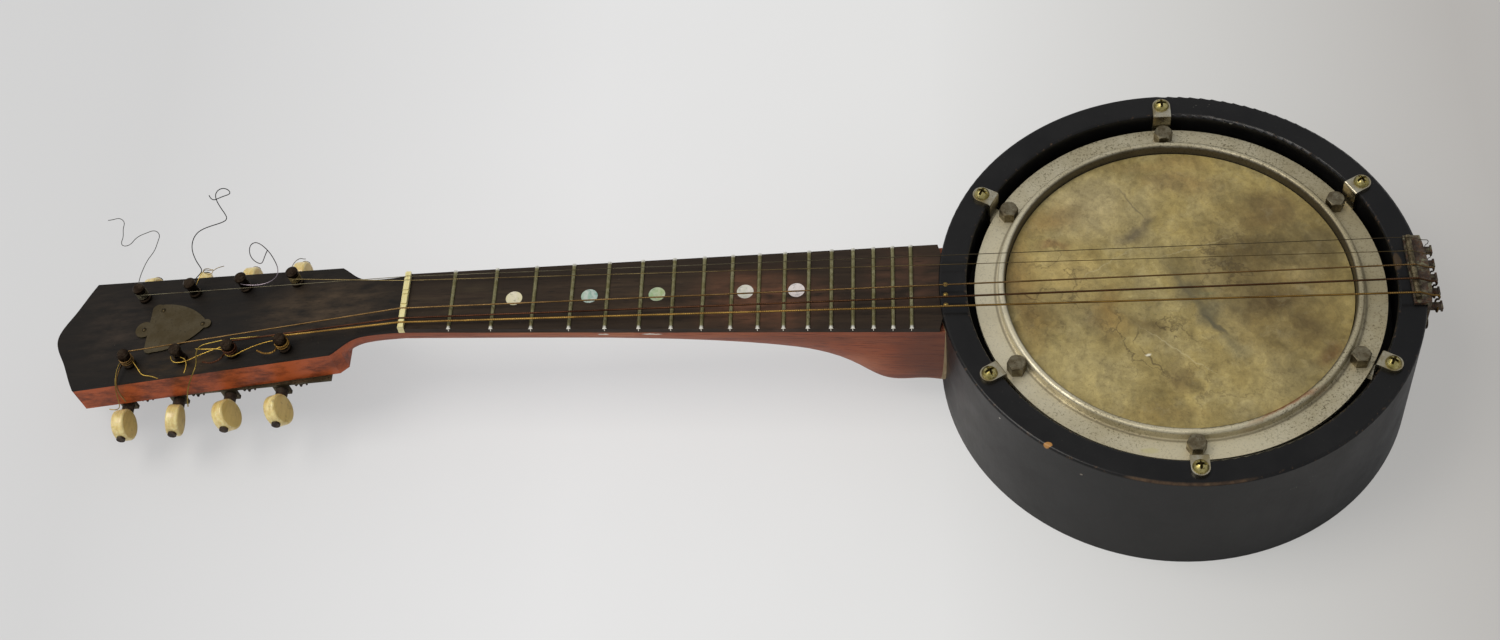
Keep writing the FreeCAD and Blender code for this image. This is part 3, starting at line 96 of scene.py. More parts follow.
# %% One helper for nodes
def linear(code):
    """A screen colour such as #808080 as linear red, green, blue and alpha."""
    shares = [int(code[i:i + 2], 16) / 255 for i in (1, 3, 5)]
    return [c / 12.92 if c <= 0.04045 else ((c + 0.055) / 1.055) ** 2.4 for c in shares] + [1]


def fill(socket, value):
    """Gives an input a colour, a number or a vector."""
    socket.default_value = linear(value) if isinstance(value, str) else value


def add(tree, kind, settings, inputs):
    """Adds a node with its settings, and fills or links its inputs."""
    node = tree.nodes.new("ShaderNode" + kind)
    for name, value in settings.items():
        if name == "stops":
            ramp = node.color_ramp
            while len(ramp.elements) < len(value):
                ramp.elements.new(0.5)
            for stop, (place, colour) in zip(ramp.elements, value):
                stop.position = place
                stop.color = linear(colour)
        else:
            setattr(node, name, value)
    for name, value in inputs.items():
        if isinstance(value, bpy.types.NodeSocket):
            tree.links.new(value, node.inputs[name])
        else:
            fill(node.inputs[name], value)
    return node


def start(name, looks):
    """A new material, its tree, its shader and the place of each point on the object, in metres."""
    material = bpy.data.materials.new(name)
    material.use_nodes = True
    tree = material.node_tree
    shader = tree.nodes["Principled BSDF"]
    for socket, value in looks.items():
        fill(shader.inputs[socket], value)
    return material, tree, shader, add(tree, "TexCoord", {}, {}).outputs["Object"]


def wear(material, *names):
    """Puts a finish on nodes of the solid model."""
    for name in names:
        slots = nodes[name].data.materials
        slots.clear()
        slots.append(material)


def every(size):
    """The scale at which a pattern has one feature in each so many millimetres."""
    return 1 / (size * mm)


print("one feature each millimetre is a scale of", every(1))

# %% [markdown]
# The finishes share a few habits, and each habit is a small helper of its own. A cloud is a soft noise
# between 0 and 1. Over lays a tint on the ground wherever all its masks are full. Relief turns a height
# into bumps that the light can catch. A patch is an oval place on the object, measured in millimetres,
# and it gets a ragged edge when it is drawn on a place that noise has pushed about, as old dirt has.
# Along is a mask that grows from one end of a stretch to the other, and from_middle tells how far out
# on the drum a place is.

# %% Shared patterns
def cloud(tree, place, size, detail=4.0, rough=0.6, low=0.35, high=0.65, stretch=(1, 1, 1)):
    """Noise with features of a size in millimetres, cleared below low and full above high."""
    spread = add(tree, "Mapping", {}, {"Vector": place, "Scale": stretch}).outputs[0]
    noise = add(tree, "TexNoise", {}, {
        "Vector": spread, "Scale": every(size), "Detail": detail, "Roughness": rough}).outputs[0]
    return add(tree, "MapRange", {}, {"Value": noise, "From Min": low, "From Max": high}).outputs[0]


def over(tree, ground, tint, *masks, way="MIX"):
    """The ground with a tint laid over it where all the masks are full."""
    share = masks[0]
    for mask in masks[1:]:
        both = add(tree, "Math", {"operation": "MULTIPLY", "use_clamp": True}, {0: share, 1: mask})
        share = both.outputs[0]
    mixed = add(tree, "Mix", {"data_type": "RGBA", "blend_type": way}, {0: share, 6: ground, 7: tint})
    return mixed.outputs[2]


def relief(tree, shader, height, depth, strength=1.0):
    """Bumps of a depth in millimetres on the shader."""
    bump = add(tree, "Bump", {}, {"Height": height, "Distance": depth * mm, "Strength": strength})
    tree.links.new(bump.outputs[0], shader.inputs["Normal"])


def ragged(tree, place, size, reach):
    """The place pushed about by noise, so that what is drawn on it gets a ragged edge."""
    noise = add(tree, "TexNoise", {}, {"Vector": place, "Scale": every(size), "Detail": 4.0}).outputs["Color"]
    centred = add(tree, "VectorMath", {"operation": "SUBTRACT"}, {0: noise, 1: (0.5, 0.5, 0.5)}).outputs[0]
    push = add(tree, "VectorMath", {"operation": "SCALE"}, {0: centred, "Scale": 2 * reach * mm}).outputs[0]
    return add(tree, "VectorMath", {"operation": "ADD"}, {0: place, 1: push}).outputs[0]


def patch(tree, place, centre, radii, turn=0.0, core=0.2):
    """A mask over an oval patch: 1 inside its core, down to 0 at its edge."""
    oval = add(tree, "Mapping", {"vector_type": "TEXTURE"}, {
        "Vector": place, "Location": [c * mm for c in centre], "Rotation": (0, 0, radians(turn)),
        "Scale": [r * mm for r in radii]})
    out = add(tree, "VectorMath", {"operation": "LENGTH"}, {0: oval.outputs[0]})
    return add(tree, "MapRange", {"interpolation_type": "SMOOTHSTEP"}, {
        "Value": out.outputs["Value"], "From Min": 1.0, "From Max": core}).outputs[0]


def along(tree, place, axis, begin, end, full=1.0):
    """A mask that grows from 0 at one place on an axis to full at another, both in millimetres."""
    axes = add(tree, "SeparateXYZ", {}, {"Vector": place})
    return add(tree, "MapRange", {}, {
        "Value": axes.outputs[axis], "From Min": begin * mm, "From Max": end * mm, "To Max": full}).outputs[0]


def from_middle(tree, place):
    """How far a place is from the upright line through the drum's middle, in metres."""
    axes = add(tree, "SeparateXYZ", {}, {"Vector": place})
    flat = add(tree, "CombineXYZ", {}, {"X": axes.outputs[0], "Y": axes.outputs[1]})
    return add(tree, "VectorMath", {"operation": "LENGTH"}, {0: flat.outputs[0]}).outputs["Value"]


print("patterns ready")

# %% [markdown]
# The pot is a ring of hardwood brushed with black lacquer. The film is thin, so the turned wood below
# ripples it a little, and years of handling have dulled it in cloudy patches. The cloud that lightens
# the colour is the one that roughens the surface, because on the real film both come from wear.

# %% Worn black lacquer
lacquer, tree, shader, place = start("worn_black_lacquer", {
    "IOR": 1.5, "Specular IOR Level": 0.12, "Coat Weight": 0.3, "Coat Roughness": 0.22})
smudges = cloud(tree, place, 22, detail=5, low=0.3, high=0.7)
film = over(tree, "#090808", "#151413", smudges)
# A painted shade darkens the right side of the pot, away from the lamps.
film = over(tree, film, "#040404", patch(tree, place, (96, -20, 60), (70, 95, 30)), 0.75)
dull = add(tree, "MapRange", {}, {"Value": smudges, "To Min": 0.3, "To Max": 0.5}).outputs[0]
tree.links.new(dull, shader.inputs["Roughness"])
relief(tree, shader, cloud(tree, place, 5, detail=3, stretch=(1, 1, 0.25)), 0.06, 0.5)
print("lacquer nodes:", len(tree.nodes))

# %% [markdown]
# Where the rim has been knocked the film is gone and brown wood shows: along the front edge, in a few
# chips, and in fine scratches. Wear follows the edges, so its masks come from the radius and the height
# of each point, and a finer noise breaks them into nicks.

# %% Knocked rim
rim_outer_edge, rim_inner_edge, rim_edge_height = 98.3, 87.3, 59.8
worn_reach, bare_reach = 1.1, 0.3
loose = ragged(tree, place, 7, 1.2)
radius = from_middle(tree, place)
height = add(tree, "SeparateXYZ", {}, {"Vector": place}).outputs[2]
off_height = add(tree, "Math", {"operation": "SUBTRACT"}, {0: height, 1: rim_edge_height * mm}).outputs[0]
edge_masks = []
for edge in (rim_outer_edge, rim_inner_edge):
    off_radius = add(tree, "Math", {"operation": "SUBTRACT"}, {0: radius, 1: edge * mm}).outputs[0]
    off = add(tree, "CombineXYZ", {}, {"X": off_radius, "Y": off_height}).outputs[0]
    away = add(tree, "VectorMath", {"operation": "LENGTH"}, {0: off}).outputs["Value"]
    near = add(tree, "MapRange", {}, {
        "Value": away, "From Min": worn_reach * mm, "From Max": bare_reach * mm})
    edge_masks.append(near.outputs[0])
# The outer edge is knocked only along the front.
outer, inner = edge_masks
front_half = along(tree, place, "Y", 20, -40)
outer = add(tree, "Math", {"operation": "MULTIPLY"}, {0: outer, 1: front_half}).outputs[0]
edges = add(tree, "Math", {"operation": "MAXIMUM"}, {0: outer, 1: inner}).outputs[0]
nicks = cloud(tree, place, 2.4, detail=6, rough=0.75, low=0.57, high=0.63)
front = patch(tree, loose, (-6, -97, 60), (34, 6, 3), core=0.6)
rubbed = add(tree, "Math", {"operation": "MAXIMUM"}, {0: nicks, 1: front}).outputs[0]
wood = over(tree, "#33251a", "#5f4a34", cloud(tree, place, 3, low=0.3, high=0.7))
film = over(tree, film, wood, edges, rubbed)
# Chips and stains: place, radii, colour.
for spot, size, tint in (
        ((-57.6, -79.0, 60), (2.0, 1.3, 2.5), "#a8783f"), ((-45.0, -87.0, 52), (1.0, 1.0, 0.8), "#7d7468"),
        ((-75.5, -62.5, 55), (0.8, 0.8, 0.8), "#b5b0a6"), ((87.8, 4.9, 60), (2.0, 5.0, 3), "#3d2f1e")):
    film = over(tree, film, tint, patch(tree, loose, spot, size, core=0.7))
# Scratches: place, radii, turn in degrees.
for spot, size, turn in (
        ((15.5, 92.0, 60), (3.6, 0.5, 2), 25), ((18.0, 91.0, 60), (3.0, 0.4, 2), -20),
        ((20.5, 92.2, 60), (2.6, 0.4, 2), 50), ((30.5, 81.6, 60), (11, 0.4, 2), -20),
        ((40, -90, 44), (7, 1.5, 0.35), 24), ((44, -88, 47), (6, 1.5, 0.3), 26)):
    film = over(tree, film, "#8a877d", patch(tree, place, spot, size, turn, core=0.5), nicks)
dust = cloud(tree, place, 0.9, detail=3, rough=0.8, low=0.68, high=0.74)
film = over(tree, film, "#4a4742", dust, smudges)
tree.links.new(film, shader.inputs["Base Color"])
wear(lacquer, "pot_wall", "pot_back")
print("lacquer nodes with the wear:", len(tree.nodes))

# %% [markdown]
# The neck is one piece of mahogany, stained red and French polished. Mahogany has long straight pores,
# which show as fine dark dashes along the grain, over slow bands of lighter and darker wood. Stretching
# a noise along the neck gives both. The polish is a hard clear film, which is what the coat is for.

# %% Polished mahogany
mahogany, tree, shader, place = start("french_polished_mahogany", {
    "Roughness": 0.42, "IOR": 1.5, "Specular IOR Level": 0.18, "Coat Weight": 0.12, "Coat Roughness": 0.25})
bands = cloud(tree, place, 5, detail=5, low=0.3, high=0.7, stretch=(0.06, 1, 1))
pores = cloud(tree, place, 0.8, detail=3, rough=0.7, low=0.52, high=0.66, stretch=(0.05, 1, 1))
stain = cloud(tree, place, 40, detail=3, stretch=(0.6, 1, 1))
band_stops = ((0.0, "#783820"), (0.5, "#9a5433"), (1.0, "#b26e48"))
ground = add(tree, "ValToRGB", {"stops": band_stops}, {"Fac": bands}).outputs[0]
ground = over(tree, ground, "#8a3c20", stain, bands)
ground = over(tree, ground, "#552416", pores, 0.8)
# The wood just under the board and the heel where it meets the drum are painted darker, as their shade.
# The heel's belly is paler. Each patch: place, radii, colour, strength.
loose = ragged(tree, place, 12, 5)
for spot, size, tint, strength in (
        ((-104, -20, 40), (22, 30, 40), "#4a2a20", 0.6), ((-150, -18, 52), (60, 8, 6), "#6a3a28", 0.5),
        ((-135, -20, 30), (20, 10, 12), "#c07a58", 0.4)):
    ground = over(tree, ground, tint, patch(tree, loose, spot, size), strength)
# The sides of the head are redder and more scuffed than the neck.
at_head = along(tree, place, "X", -330, -362)
scuffs = cloud(tree, place, 7, detail=6, rough=0.7, low=0.42, high=0.62, stretch=(0.5, 1, 1))
redder = over(tree, "#b4562a", "#622a12", scuffs)
ground = over(tree, ground, redder, at_head, 0.9)
# Two chips in the polish just under the fingerboard show the pale filler.
chipped = ragged(tree, place, 2, 0.5)
for spot, size in (((-218, -18.4, 55), (5.5, 1.6, 0.8)), ((-238, -17.8, 55), (3.4, 1.6, 0.7))):
    ground = over(tree, ground, "#d6cdc0", patch(tree, chipped, spot, size, core=0.7))
tree.links.new(ground, shader.inputs["Base Color"])
relief(tree, shader, pores, -0.05, 0.6)
wear(mahogany, "neck")
print("mahogany nodes:", len(tree.nodes))

# %% [markdown]
# The fingerboard and the face of the head are hard wood stained black. Fingers have worn the stain thin
# near the drum, where the red-brown wood comes through, and a little towards the nut. The grain is
# close and runs along the neck. Both pieces are dull, with only a trace of old polish.

# %% Stained board
def stained(name, dark, worn, thin_places):
    """Black-stained wood, worn brown in some places."""
    material, tree, shader, place = start(name, {"IOR": 1.48, "Specular IOR Level": 0.16})
    grain = cloud(tree, place, 1.6, detail=6, rough=0.65, low=0.3, high=0.75, stretch=(0.05, 1, 1))
    streaks = cloud(tree, place, 7, low=0.35, high=0.7, stretch=(0.08, 1, 1))
    ground = over(tree, dark, worn, grain, streaks)
    loose = ragged(tree, place, 14, 6)
    for spot, size, tint, share in thin_places:
        rubbed = cloud(tree, place, 5, detail=6, low=0.62 - share, high=0.95 - share, stretch=(0.3, 1, 1))
        ground = over(tree, ground, tint, patch(tree, loose, spot, size), rubbed)
    pores = cloud(tree, place, 0.7, detail=2, rough=0.7, low=0.6, high=0.7, stretch=(0.06, 1, 1))
    ground = over(tree, ground, "#0c0907", pores, 0.6)
    lint = cloud(tree, place, 1.1, detail=3, rough=0.8, low=0.7, high=0.76)
    ground = over(tree, ground, "#5c5448", lint)
    tree.links.new(ground, shader.inputs["Base Color"])
    worn_rough = add(tree, "MapRange", {}, {"Value": cloud(tree, place, 12), "To Min": 0.4, "To Max": 0.6})
    tree.links.new(worn_rough.outputs[0], shader.inputs["Roughness"])
    relief(tree, shader, grain, 0.05, 0.6)
    return material


# Each thin place: centre, radii, colour, how far the stain has gone.
board_finish = stained("black_stained_fingerboard", "#281f17", "#403326", (
    ((-172, -4, 59), (40, 20, 20), "#6c4834", 0.32), ((-112, 4, 59), (26, 22, 20), "#50382a", 0.25),
    ((-228, -2, 59), (50, 16, 20), "#443526", 0.25), ((-300, 0, 59), (30, 14, 20), "#3f3526", 0.2)))
face_finish = stained("black_stained_head_face", "#15120f", "#272019", (
    ((-360, 2, 53), (46, 20, 30), "#45382a", 0.3), ((-455, 4, 42), (26, 30, 30), "#332a22", 0.2),
    ((-420, -20, 45), (30, 12, 30), "#41321f", 0.2)))
wear(board_finish, "fingerboard")
wear(face_finish, "head_face")
print("boards stained")

# %% [markdown]
# The ledge inside the pot and the pole through it are plain beech that nobody varnished, and the shim at
# the heel is a paler scrap. The ledge is painted nearly black, as the shade of the deep gap where it
# sits. Beech has short flecks rather than long lines.

# %% Raw wood
def raw_wood(name, light, dark, stretch):
    """Unvarnished wood with short flecks along its grain."""
    material, tree, shader, place = start(name, {"Roughness": 0.75, "IOR": 1.45})
    flecks = cloud(tree, place, 0.9, low=0.45, high=0.7, stretch=stretch)
    bands = cloud(tree, place, 6, detail=3, stretch=stretch)
    ground = over(tree, light, dark, bands)
    tree.links.new(over(tree, ground, dark, flecks), shader.inputs["Base Color"])
    relief(tree, shader, flecks, 0.05, 0.5)
    return material


# The ledge's near-black colours are painted shade.
wear(raw_wood("shade_darkened_beech_ring", "#1c1713", "#120e0a", (0.6, 0.6, 1)), "ledge_ring")
wear(raw_wood("raw_beech_pole", "#a3835a", "#7f6040", (0.1, 1, 1)), "perch_pole")
wear(raw_wood("pale_shim", "#b9a583", "#8f7854", (1, 1, 0.1)), "neck_shim")
print("raw wood ready")

# %% [markdown]
# The vellum is a calfskin, shaved thin, stretched wet over the tone ring and lapped round a hoop. It was
# never an even colour. The skin starts as soft clouds of cream and brown, and two tangles of fibres
# darken and lighten it everywhere. It is dull and very slightly uneven, so the bumps are low.

# %% Old vellum
vellum, tree, shader, place = start("old_calfskin_vellum", {
    "Roughness": 0.6, "IOR": 1.45, "Specular IOR Level": 0.35})
veins = ragged(tree, place, 5, 2.2)
loose = ragged(tree, veins, 18, 8)
clouds = cloud(tree, loose, 24, detail=7, rough=0.65, low=0.28, high=0.72)
skin_stops = ((0.0, "#7c6c3e"), (0.45, "#9a8b5a"), (1.0, "#b6a97b"))
ground = add(tree, "ValToRGB", {"stops": skin_stops}, {"Fac": clouds}).outputs[0]
# The long fibres lie slantwise, as the skin was stretched.
turned = add(tree, "Mapping", {}, {"Vector": loose, "Rotation": (0, 0, radians(58))}).outputs[0]
fibres = cloud(tree, turned, 22, detail=10, rough=0.66, low=0.25, high=0.75, stretch=(0.45, 1, 1))
fibre_stops = ((0.0, "#7c7a76"), (1.0, "#e8e6e0"))
fibre_greys = add(tree, "ValToRGB", {"stops": fibre_stops}, {"Fac": fibres}).outputs[0]
tangled = ragged(tree, place, 8, 4)
tangle = cloud(tree, tangled, 5, detail=10, rough=0.75, low=0.3, high=0.7, stretch=(1, 0.6, 1))
tangle_stops = ((0.0, "#807e7a"), (1.0, "#e6e4dc"))
tangle_greys = add(tree, "ValToRGB", {"stops": tangle_stops}, {"Fac": tangle}).outputs[0]
waves = cloud(tree, veins, 9, detail=5, low=0.2, high=0.8)
relief(tree, shader, waves, 0.18, 0.5)
print("vellum nodes:", len(tree.nodes))

# %% [markdown]
# A century of hands, damp and rust has stained the skin, most darkly towards the tail, where a hand
# rests. The stains are drawn where they lie on the real one. Each is an oval patch on the pushed place,
# so its edge is ragged, and a mottle keeps it from being an even colour.

# %% Stains of the vellum
skin_height, through_skin = 53, 50
# Each stain: centre, radii, turn in degrees, colour, strength.
stains = (
    ((36, 2), (46, 62), 8, "#6b5a36", 0.75), ((-36, 44), (30, 26), 20, "#b3a680", 0.75),
    ((-46, 5), (20, 26), 0, "#b09c66", 0.8), ((-42, -42), (30, 24), -20, "#b2a473", 0.75),
    ((36, -46), (26, 18), 15, "#918459", 0.75), ((-12, 42), (9, 22), -28, "#a99d75", 0.5),
    ((11, 7), (11, 12), 0, "#96885f", 0.55), ((42, 38), (20, 14), 20, "#6c5a39", 0.75),
    ((-64, 2), (11, 46), 4, "#8f7040", 0.55), ((28, 17), (18, 13), 15, "#54472a", 0.8),
    ((38, -8), (24, 10), 12, "#524227", 0.8), ((50, -22), (14, 11), -20, "#56462a", 0.75),
    ((-16, 27), (11, 6), 20, "#5c5348", 0.8), ((-10, 34), (5, 9), -30, "#665d4c", 0.6),
    ((4, -2), (9, 11), -45, "#625c46", 0.6), ((20, -29), (10, 7), -30, "#66634e", 0.55),
    ((12, -14), (7, 12), -50, "#6a6857", 0.6), ((12, -4), (6, 3), 0, "#6c7358", 0.5),
    ((-14, -20), (14, 7), -15, "#6a5a38", 0.65), ((-2, -44), (13, 9), 30, "#6c5c3c", 0.65),
    ((-56, -12), (11, 10), 0, "#7c6434", 0.6), ((-50, 36), (20, 10), 22, "#84693c", 0.65),
    ((-50, 23), (9, 3.5), 10, "#744f33", 0.6), ((6, 54), (26, 13), -10, "#816b42", 0.7),
    ((62, 22), (10, 30), 6, "#5e5030", 0.7), ((46, 20), (22, 18), 0, "#544829", 0.8),
    ((-29, -14), (12, 18), 0, "#86693a", 0.6), ((58, -34), (12, 6), 50, "#664628", 0.75),
    ((4, 0), (44, 7), -58, "#655f48", 0.45), ((-4, 66), (40, 5), 0, "#937d50", 0.5),
    ((-10, -62), (40, 7), 0, "#8c7a4c", 0.5))
mottle = cloud(tree, veins, 5, detail=5, rough=0.7, low=0.25, high=0.6)
uneven = add(tree, "MapRange", {}, {"Value": mottle, "To Min": 0.55}).outputs[0]
for (x, y), radii, turn, tint, strength in stains:
    spot = patch(tree, loose, (x, y, skin_height), (*radii, through_skin), turn, core=0.1)
    ground = over(tree, ground, tint, spot, strength, uneven)
ground = over(tree, ground, fibre_greys, 0.7, way="OVERLAY")
ground = over(tree, ground, tangle_greys, 0.55, way="OVERLAY")
print("stains:", len(stains))

# %% [markdown]
# Over the stains lie the skin's own veins and follicles, and what the drum has been through: scratches,
# creases and pressed places. A scratch is a very thin oval. A fine crease runs wherever a slow noise
# passes its middle value, which gives long lines that branch and wander as real ones do.

# %% Marks of the vellum
# Veins and hair marks: size, where they begin, where they are full, colour, strength.
for size, low, high, tint, strength in (
        (24, 0.5, 0.7, "#5a4d30", 0.4), (3, 0.54, 0.72, "#55472a", 0.3), (9, 0.56, 0.76, "#b9ae88", 0.25)):
    marks = cloud(tree, veins, size, detail=6, rough=0.7, low=low, high=high)
    ground = over(tree, ground, tint, marks, strength)
# Scratches and old creases: centre, radii, turn in degrees, colour, strength.
for (x, y), radii, turn, tint, strength in (
        ((-15.8, 44), (15, 0.6), -59, "#6a6048", 0.6), ((8.4, -11.3), (29, 2.2), -61, "#5d5843", 0.5),
        ((12.6, -19), (12, 1.2), -48, "#55503e", 0.6), ((-60.7, -3), (7.6, 0.45), -31, "#5d4626", 0.9),
        ((-13, -36.8), (11.7, 0.4), -54, "#55482c", 0.7), ((-2, -32), (26, 0.4), -40, "#c1b58c", 0.4),
        ((-30, 12), (20, 0.4), 34, "#bcb088", 0.35), ((-19, -24), (6, 0.4), 70, "#54482e", 0.6),
        ((8, 20), (24, 0.4), 18, "#bcb088", 0.3), ((-15.2, -33.2), (1.5, 1.1), 0, "#e2dcc4", 0.9)):
    scratch = patch(tree, veins, (x, y, skin_height), (*radii, through_skin), turn, core=0.3)
    ground = over(tree, ground, tint, scratch, strength)
slow = add(tree, "TexNoise", {}, {
    "Vector": veins, "Scale": every(26), "Detail": 5.0, "Roughness": 0.6}).outputs[0]
off_middle = add(tree, "Math", {"operation": "SUBTRACT"}, {0: slow, 1: 0.5}).outputs[0]
off_middle = add(tree, "Math", {"operation": "ABSOLUTE"}, {0: off_middle}).outputs[0]
creases = add(tree, "MapRange", {}, {"Value": off_middle, "From Min": 0.015, "From Max": 0.003}).outputs[0]
# Pressed places, where the fine creases show: centre, radii, strength.
for (x, y), radii, strength in (
        ((-14, -26), (30, 24), 0.75), ((24, 12), (34, 26), 0.6), ((-50, 0), (22, 40), 0.5),
        ((10, -50), (40, 20), 0.35)):
    pressed = patch(tree, loose, (x, y, skin_height), (*radii, through_skin))
    ground = over(tree, ground, "#4e4128", pressed, strength, creases)
follicles = cloud(tree, place, 1.1, detail=3, rough=0.8, low=0.56, high=0.72)
ground = over(tree, ground, "#5a4c2e", follicles, 0.45)
tree.links.new(ground, shader.inputs["Base Color"])
wear(vellum, "vellum")
print("vellum nodes with its marks:", len(tree.nodes))

# %% [markdown]
# The bezel, the clips, the tension bolts, the nameplate and most of the tuning machines are nickel
# plated. Nickel goes cream and cloudy with age and lets the brass or steel below through in pinholes. A
# metal keeps its colour in its reflections, so the tarnish is mixed into the base colour, and the same
# cloud makes some places rough and others bright.

# %% Nickel plate
def plated(name, bright, cloudy, pits, smooth, dull, pit_share=0.6, bloom_size=9, metal=1.0):
    """Old plate: bright metal, cloudy bloom over it, and dark pits through it."""
    material, tree, shader, place = start(name, {"Metallic": metal})
    bloom = cloud(tree, place, bloom_size, detail=5, low=0.35, high=0.6)
    fine = cloud(tree, place, 1.3, detail=5, rough=0.75, low=0.4, high=0.7)
    ground = over(tree, bright, cloudy, bloom)
    ground = over(tree, ground, cloudy, fine, 0.5)
    specks = cloud(tree, place, 0.8, detail=3, rough=0.8, low=pit_share, high=pit_share + 0.08)
    ground = over(tree, ground, pits, specks)
    tree.links.new(ground, shader.inputs["Base Color"])
    matt = add(tree, "MapRange", {}, {"Value": bloom, "To Min": smooth, "To Max": dull}).outputs[0]
    tree.links.new(matt, shader.inputs["Roughness"])
    pitted = add(tree, "Math", {"operation": "SUBTRACT"}, {0: fine, 1: specks}).outputs[0]
    relief(tree, shader, pitted, 0.04, 0.5)
    return material, tree, shader, place, ground


def numbered(name, count):
    """The names of pieces that are numbered from 1."""
    return ["%s_%d" % (name, number) for number in range(1, count + 1)]


wear(plated("worn_nickel_clips", "#c9c3af", "#988b6a", "#4c4030", smooth=0.2, dull=0.4)[0], "rim_clips")
bolt_plate = plated("dull_nickel_bolts", "#8f8770", "#655b47", "#372e20",
                    smooth=0.3, dull=0.5, pit_share=0.58, bloom_size=3)[0]
machine_plate = plated("dark_nickel_plates", "#6c6450", "#453d2d", "#2c2418",
                       smooth=0.35, dull=0.6, pit_share=0.55)[0]
name_plate = plated("olive_nickel_nameplate", "#5f5644", "#4a412f", "#2d281b", smooth=0.35, dull=0.5)[0]
post_plate = plated("dark_nickel_posts", "#463b2f", "#2a2018", "#17110b",
                    smooth=0.3, dull=0.55, pit_share=0.55, bloom_size=3)[0]
wear(bolt_plate, *numbered("tension_bolt", 6))
wear(machine_plate, "tuner_plate_upper", "tuner_plate_lower")
wear(name_plate, "nameplate")
wear(post_plate, *numbered("post", 8))
print("plate ready")

# %% [markdown]
# The bezel has the thickest tarnish, so it counts as only partly metal. Painted light makes it palest to
# the left and in front, and painted shade makes it darkest on the right. Painted shade darkens the
# corner between its bead and the skin, with a fainter painted shade line round the bead's outer foot.
# Both lines are masks made from the radius of each point.

# %% Tarnished bezel
corner_shade_start, corner_shade_full = 72.2, 71.4
bead_foot, foot_reach, foot_core = 75.3, 0.7, 0.2
bezel_plate, tree, shader, place, ground = plated(
    "tarnished_nickel_bezel", "#c8bfa3", "#b3a98b", "#5c5239",
    smooth=0.34, dull=0.5, pit_share=0.55, bloom_size=14, metal=0.6)
# Painted light on the left and in front, painted shade on the right: place, radii, colour.
for spot, size, tint in (
        ((-70, -10, 56), (60, 90, 60), "#e2d9bd"), ((6, -84, 56), (60, 30, 60), "#ded4b4"),
        ((72, 22, 56), (60, 76, 60), "#9c8f6c")):
    ground = over(tree, ground, tint, patch(tree, place, spot, size), 0.6)
radius = from_middle(tree, place)
# Painted shade in the corner between the bead and the skin.
corner = add(tree, "MapRange", {}, {
    "Value": radius, "From Min": corner_shade_start * mm, "From Max": corner_shade_full * mm}).outputs[0]
ground = over(tree, ground, "#30281b", corner, 0.85)
# A fainter painted shade round the bead's outer foot.
off_foot = add(tree, "Math", {"operation": "SUBTRACT"}, {0: radius, 1: bead_foot * mm}).outputs[0]
off_foot = add(tree, "Math", {"operation": "ABSOLUTE"}, {0: off_foot}).outputs[0]
foot = add(tree, "MapRange", {}, {
    "Value": off_foot, "From Min": foot_reach * mm, "From Max": foot_core * mm}).outputs[0]
ground = over(tree, ground, "#574d3a", foot, 0.55)
# A streak of rust in front, a brown stain at the back and a pale one in front.
rusted = patch(tree, ragged(tree, place, 5, 1.5), (36, -62, 56), (24, 1.6, 6), turn=30, core=0.3)
ground = over(tree, ground, "#9a5a2c", rusted, 0.8)
loose = ragged(tree, place, 3, 1)
for spot, size, tint in (((0.5, 79.5, 54), (3.5, 2.4, 6), "#5e4a2c"), ((-18, -79, 55), (5, 2, 5), "#c9c08c")):
    ground = over(tree, ground, tint, patch(tree, loose, spot, size, core=0.5), 0.6)
tree.links.new(ground, shader.inputs["Base Color"])
wear(bezel_plate, "bezel")
print("bezel nodes:", len(tree.nodes))

# %% [markdown]
# The screws, the small pins and the rod under the strings are brass. Old brass is browner in the
# hollows, where hands and cloths don't reach, so a small cloud darkens it. The tone ring is brass too,
# and the hoop that hides in the skin's lap is given the same finish.

# %% Aged brass
screw_circle, screw_top, screw_count = 91.3, 63.2, 6
first_screw_turn, slot_radii = 30, (2.5, 0.8, 1.3)
screws, tree, shader, place, ground = plated(
    "aged_brass_screws", "#d0c388", "#948850", "#3f3618",
    smooth=0.2, dull=0.4, pit_share=0.58, bloom_size=2.5)
# The slots are painted dark, as shade and dirt; their arms lie along and across each screw's own radius of
# the pot.
for number in range(screw_count):
    turn = first_screw_turn + number * 360 // screw_count
    middle = (screw_circle * cos(radians(turn)), screw_circle * sin(radians(turn)), screw_top)
    for arm in (turn, turn + 90):
        slot_shade_and_dirt = patch(tree, place, middle, slot_radii, arm, core=0.7)
        ground = over(tree, ground, "#2c2412", slot_shade_and_dirt)
tree.links.new(ground, shader.inputs["Base Color"])
wear(screws, "clip_screws")
# The pins on the head are darker than those in the rim.
pins, tree, shader, place, ground = plated(
    "dark_brass_pins", "#b89c5c", "#7c6634", "#3b2d12",
    smooth=0.25, dull=0.45, pit_share=0.58, bloom_size=2.5)
at_head = along(tree, place, "X", -200, -300)
tree.links.new(over(tree, ground, "#3f3625", at_head), shader.inputs["Base Color"])
wear(pins, "brass_pins")
wear(plated("dull_brass_ring", "#a58f58", "#7d6838", "#4b3a1c", smooth=0.35, dull=0.55)[0],
     "tone_ring", "flesh_hoop")
wear(plated("browned_brass_bar", "#8f8468", "#4f4534", "#2c241a",
            smooth=0.4, dull=0.6, pit_share=0.55, bloom_size=3)[0], "tail_bar")
print("brass ready")

# %% [markdown]
# Frets are drawn nickel silver, polished by the strings on top and bright where their filed ends show.
# The end of each fret is found by how far it is from the middle of the board, which widens towards the
# drum.

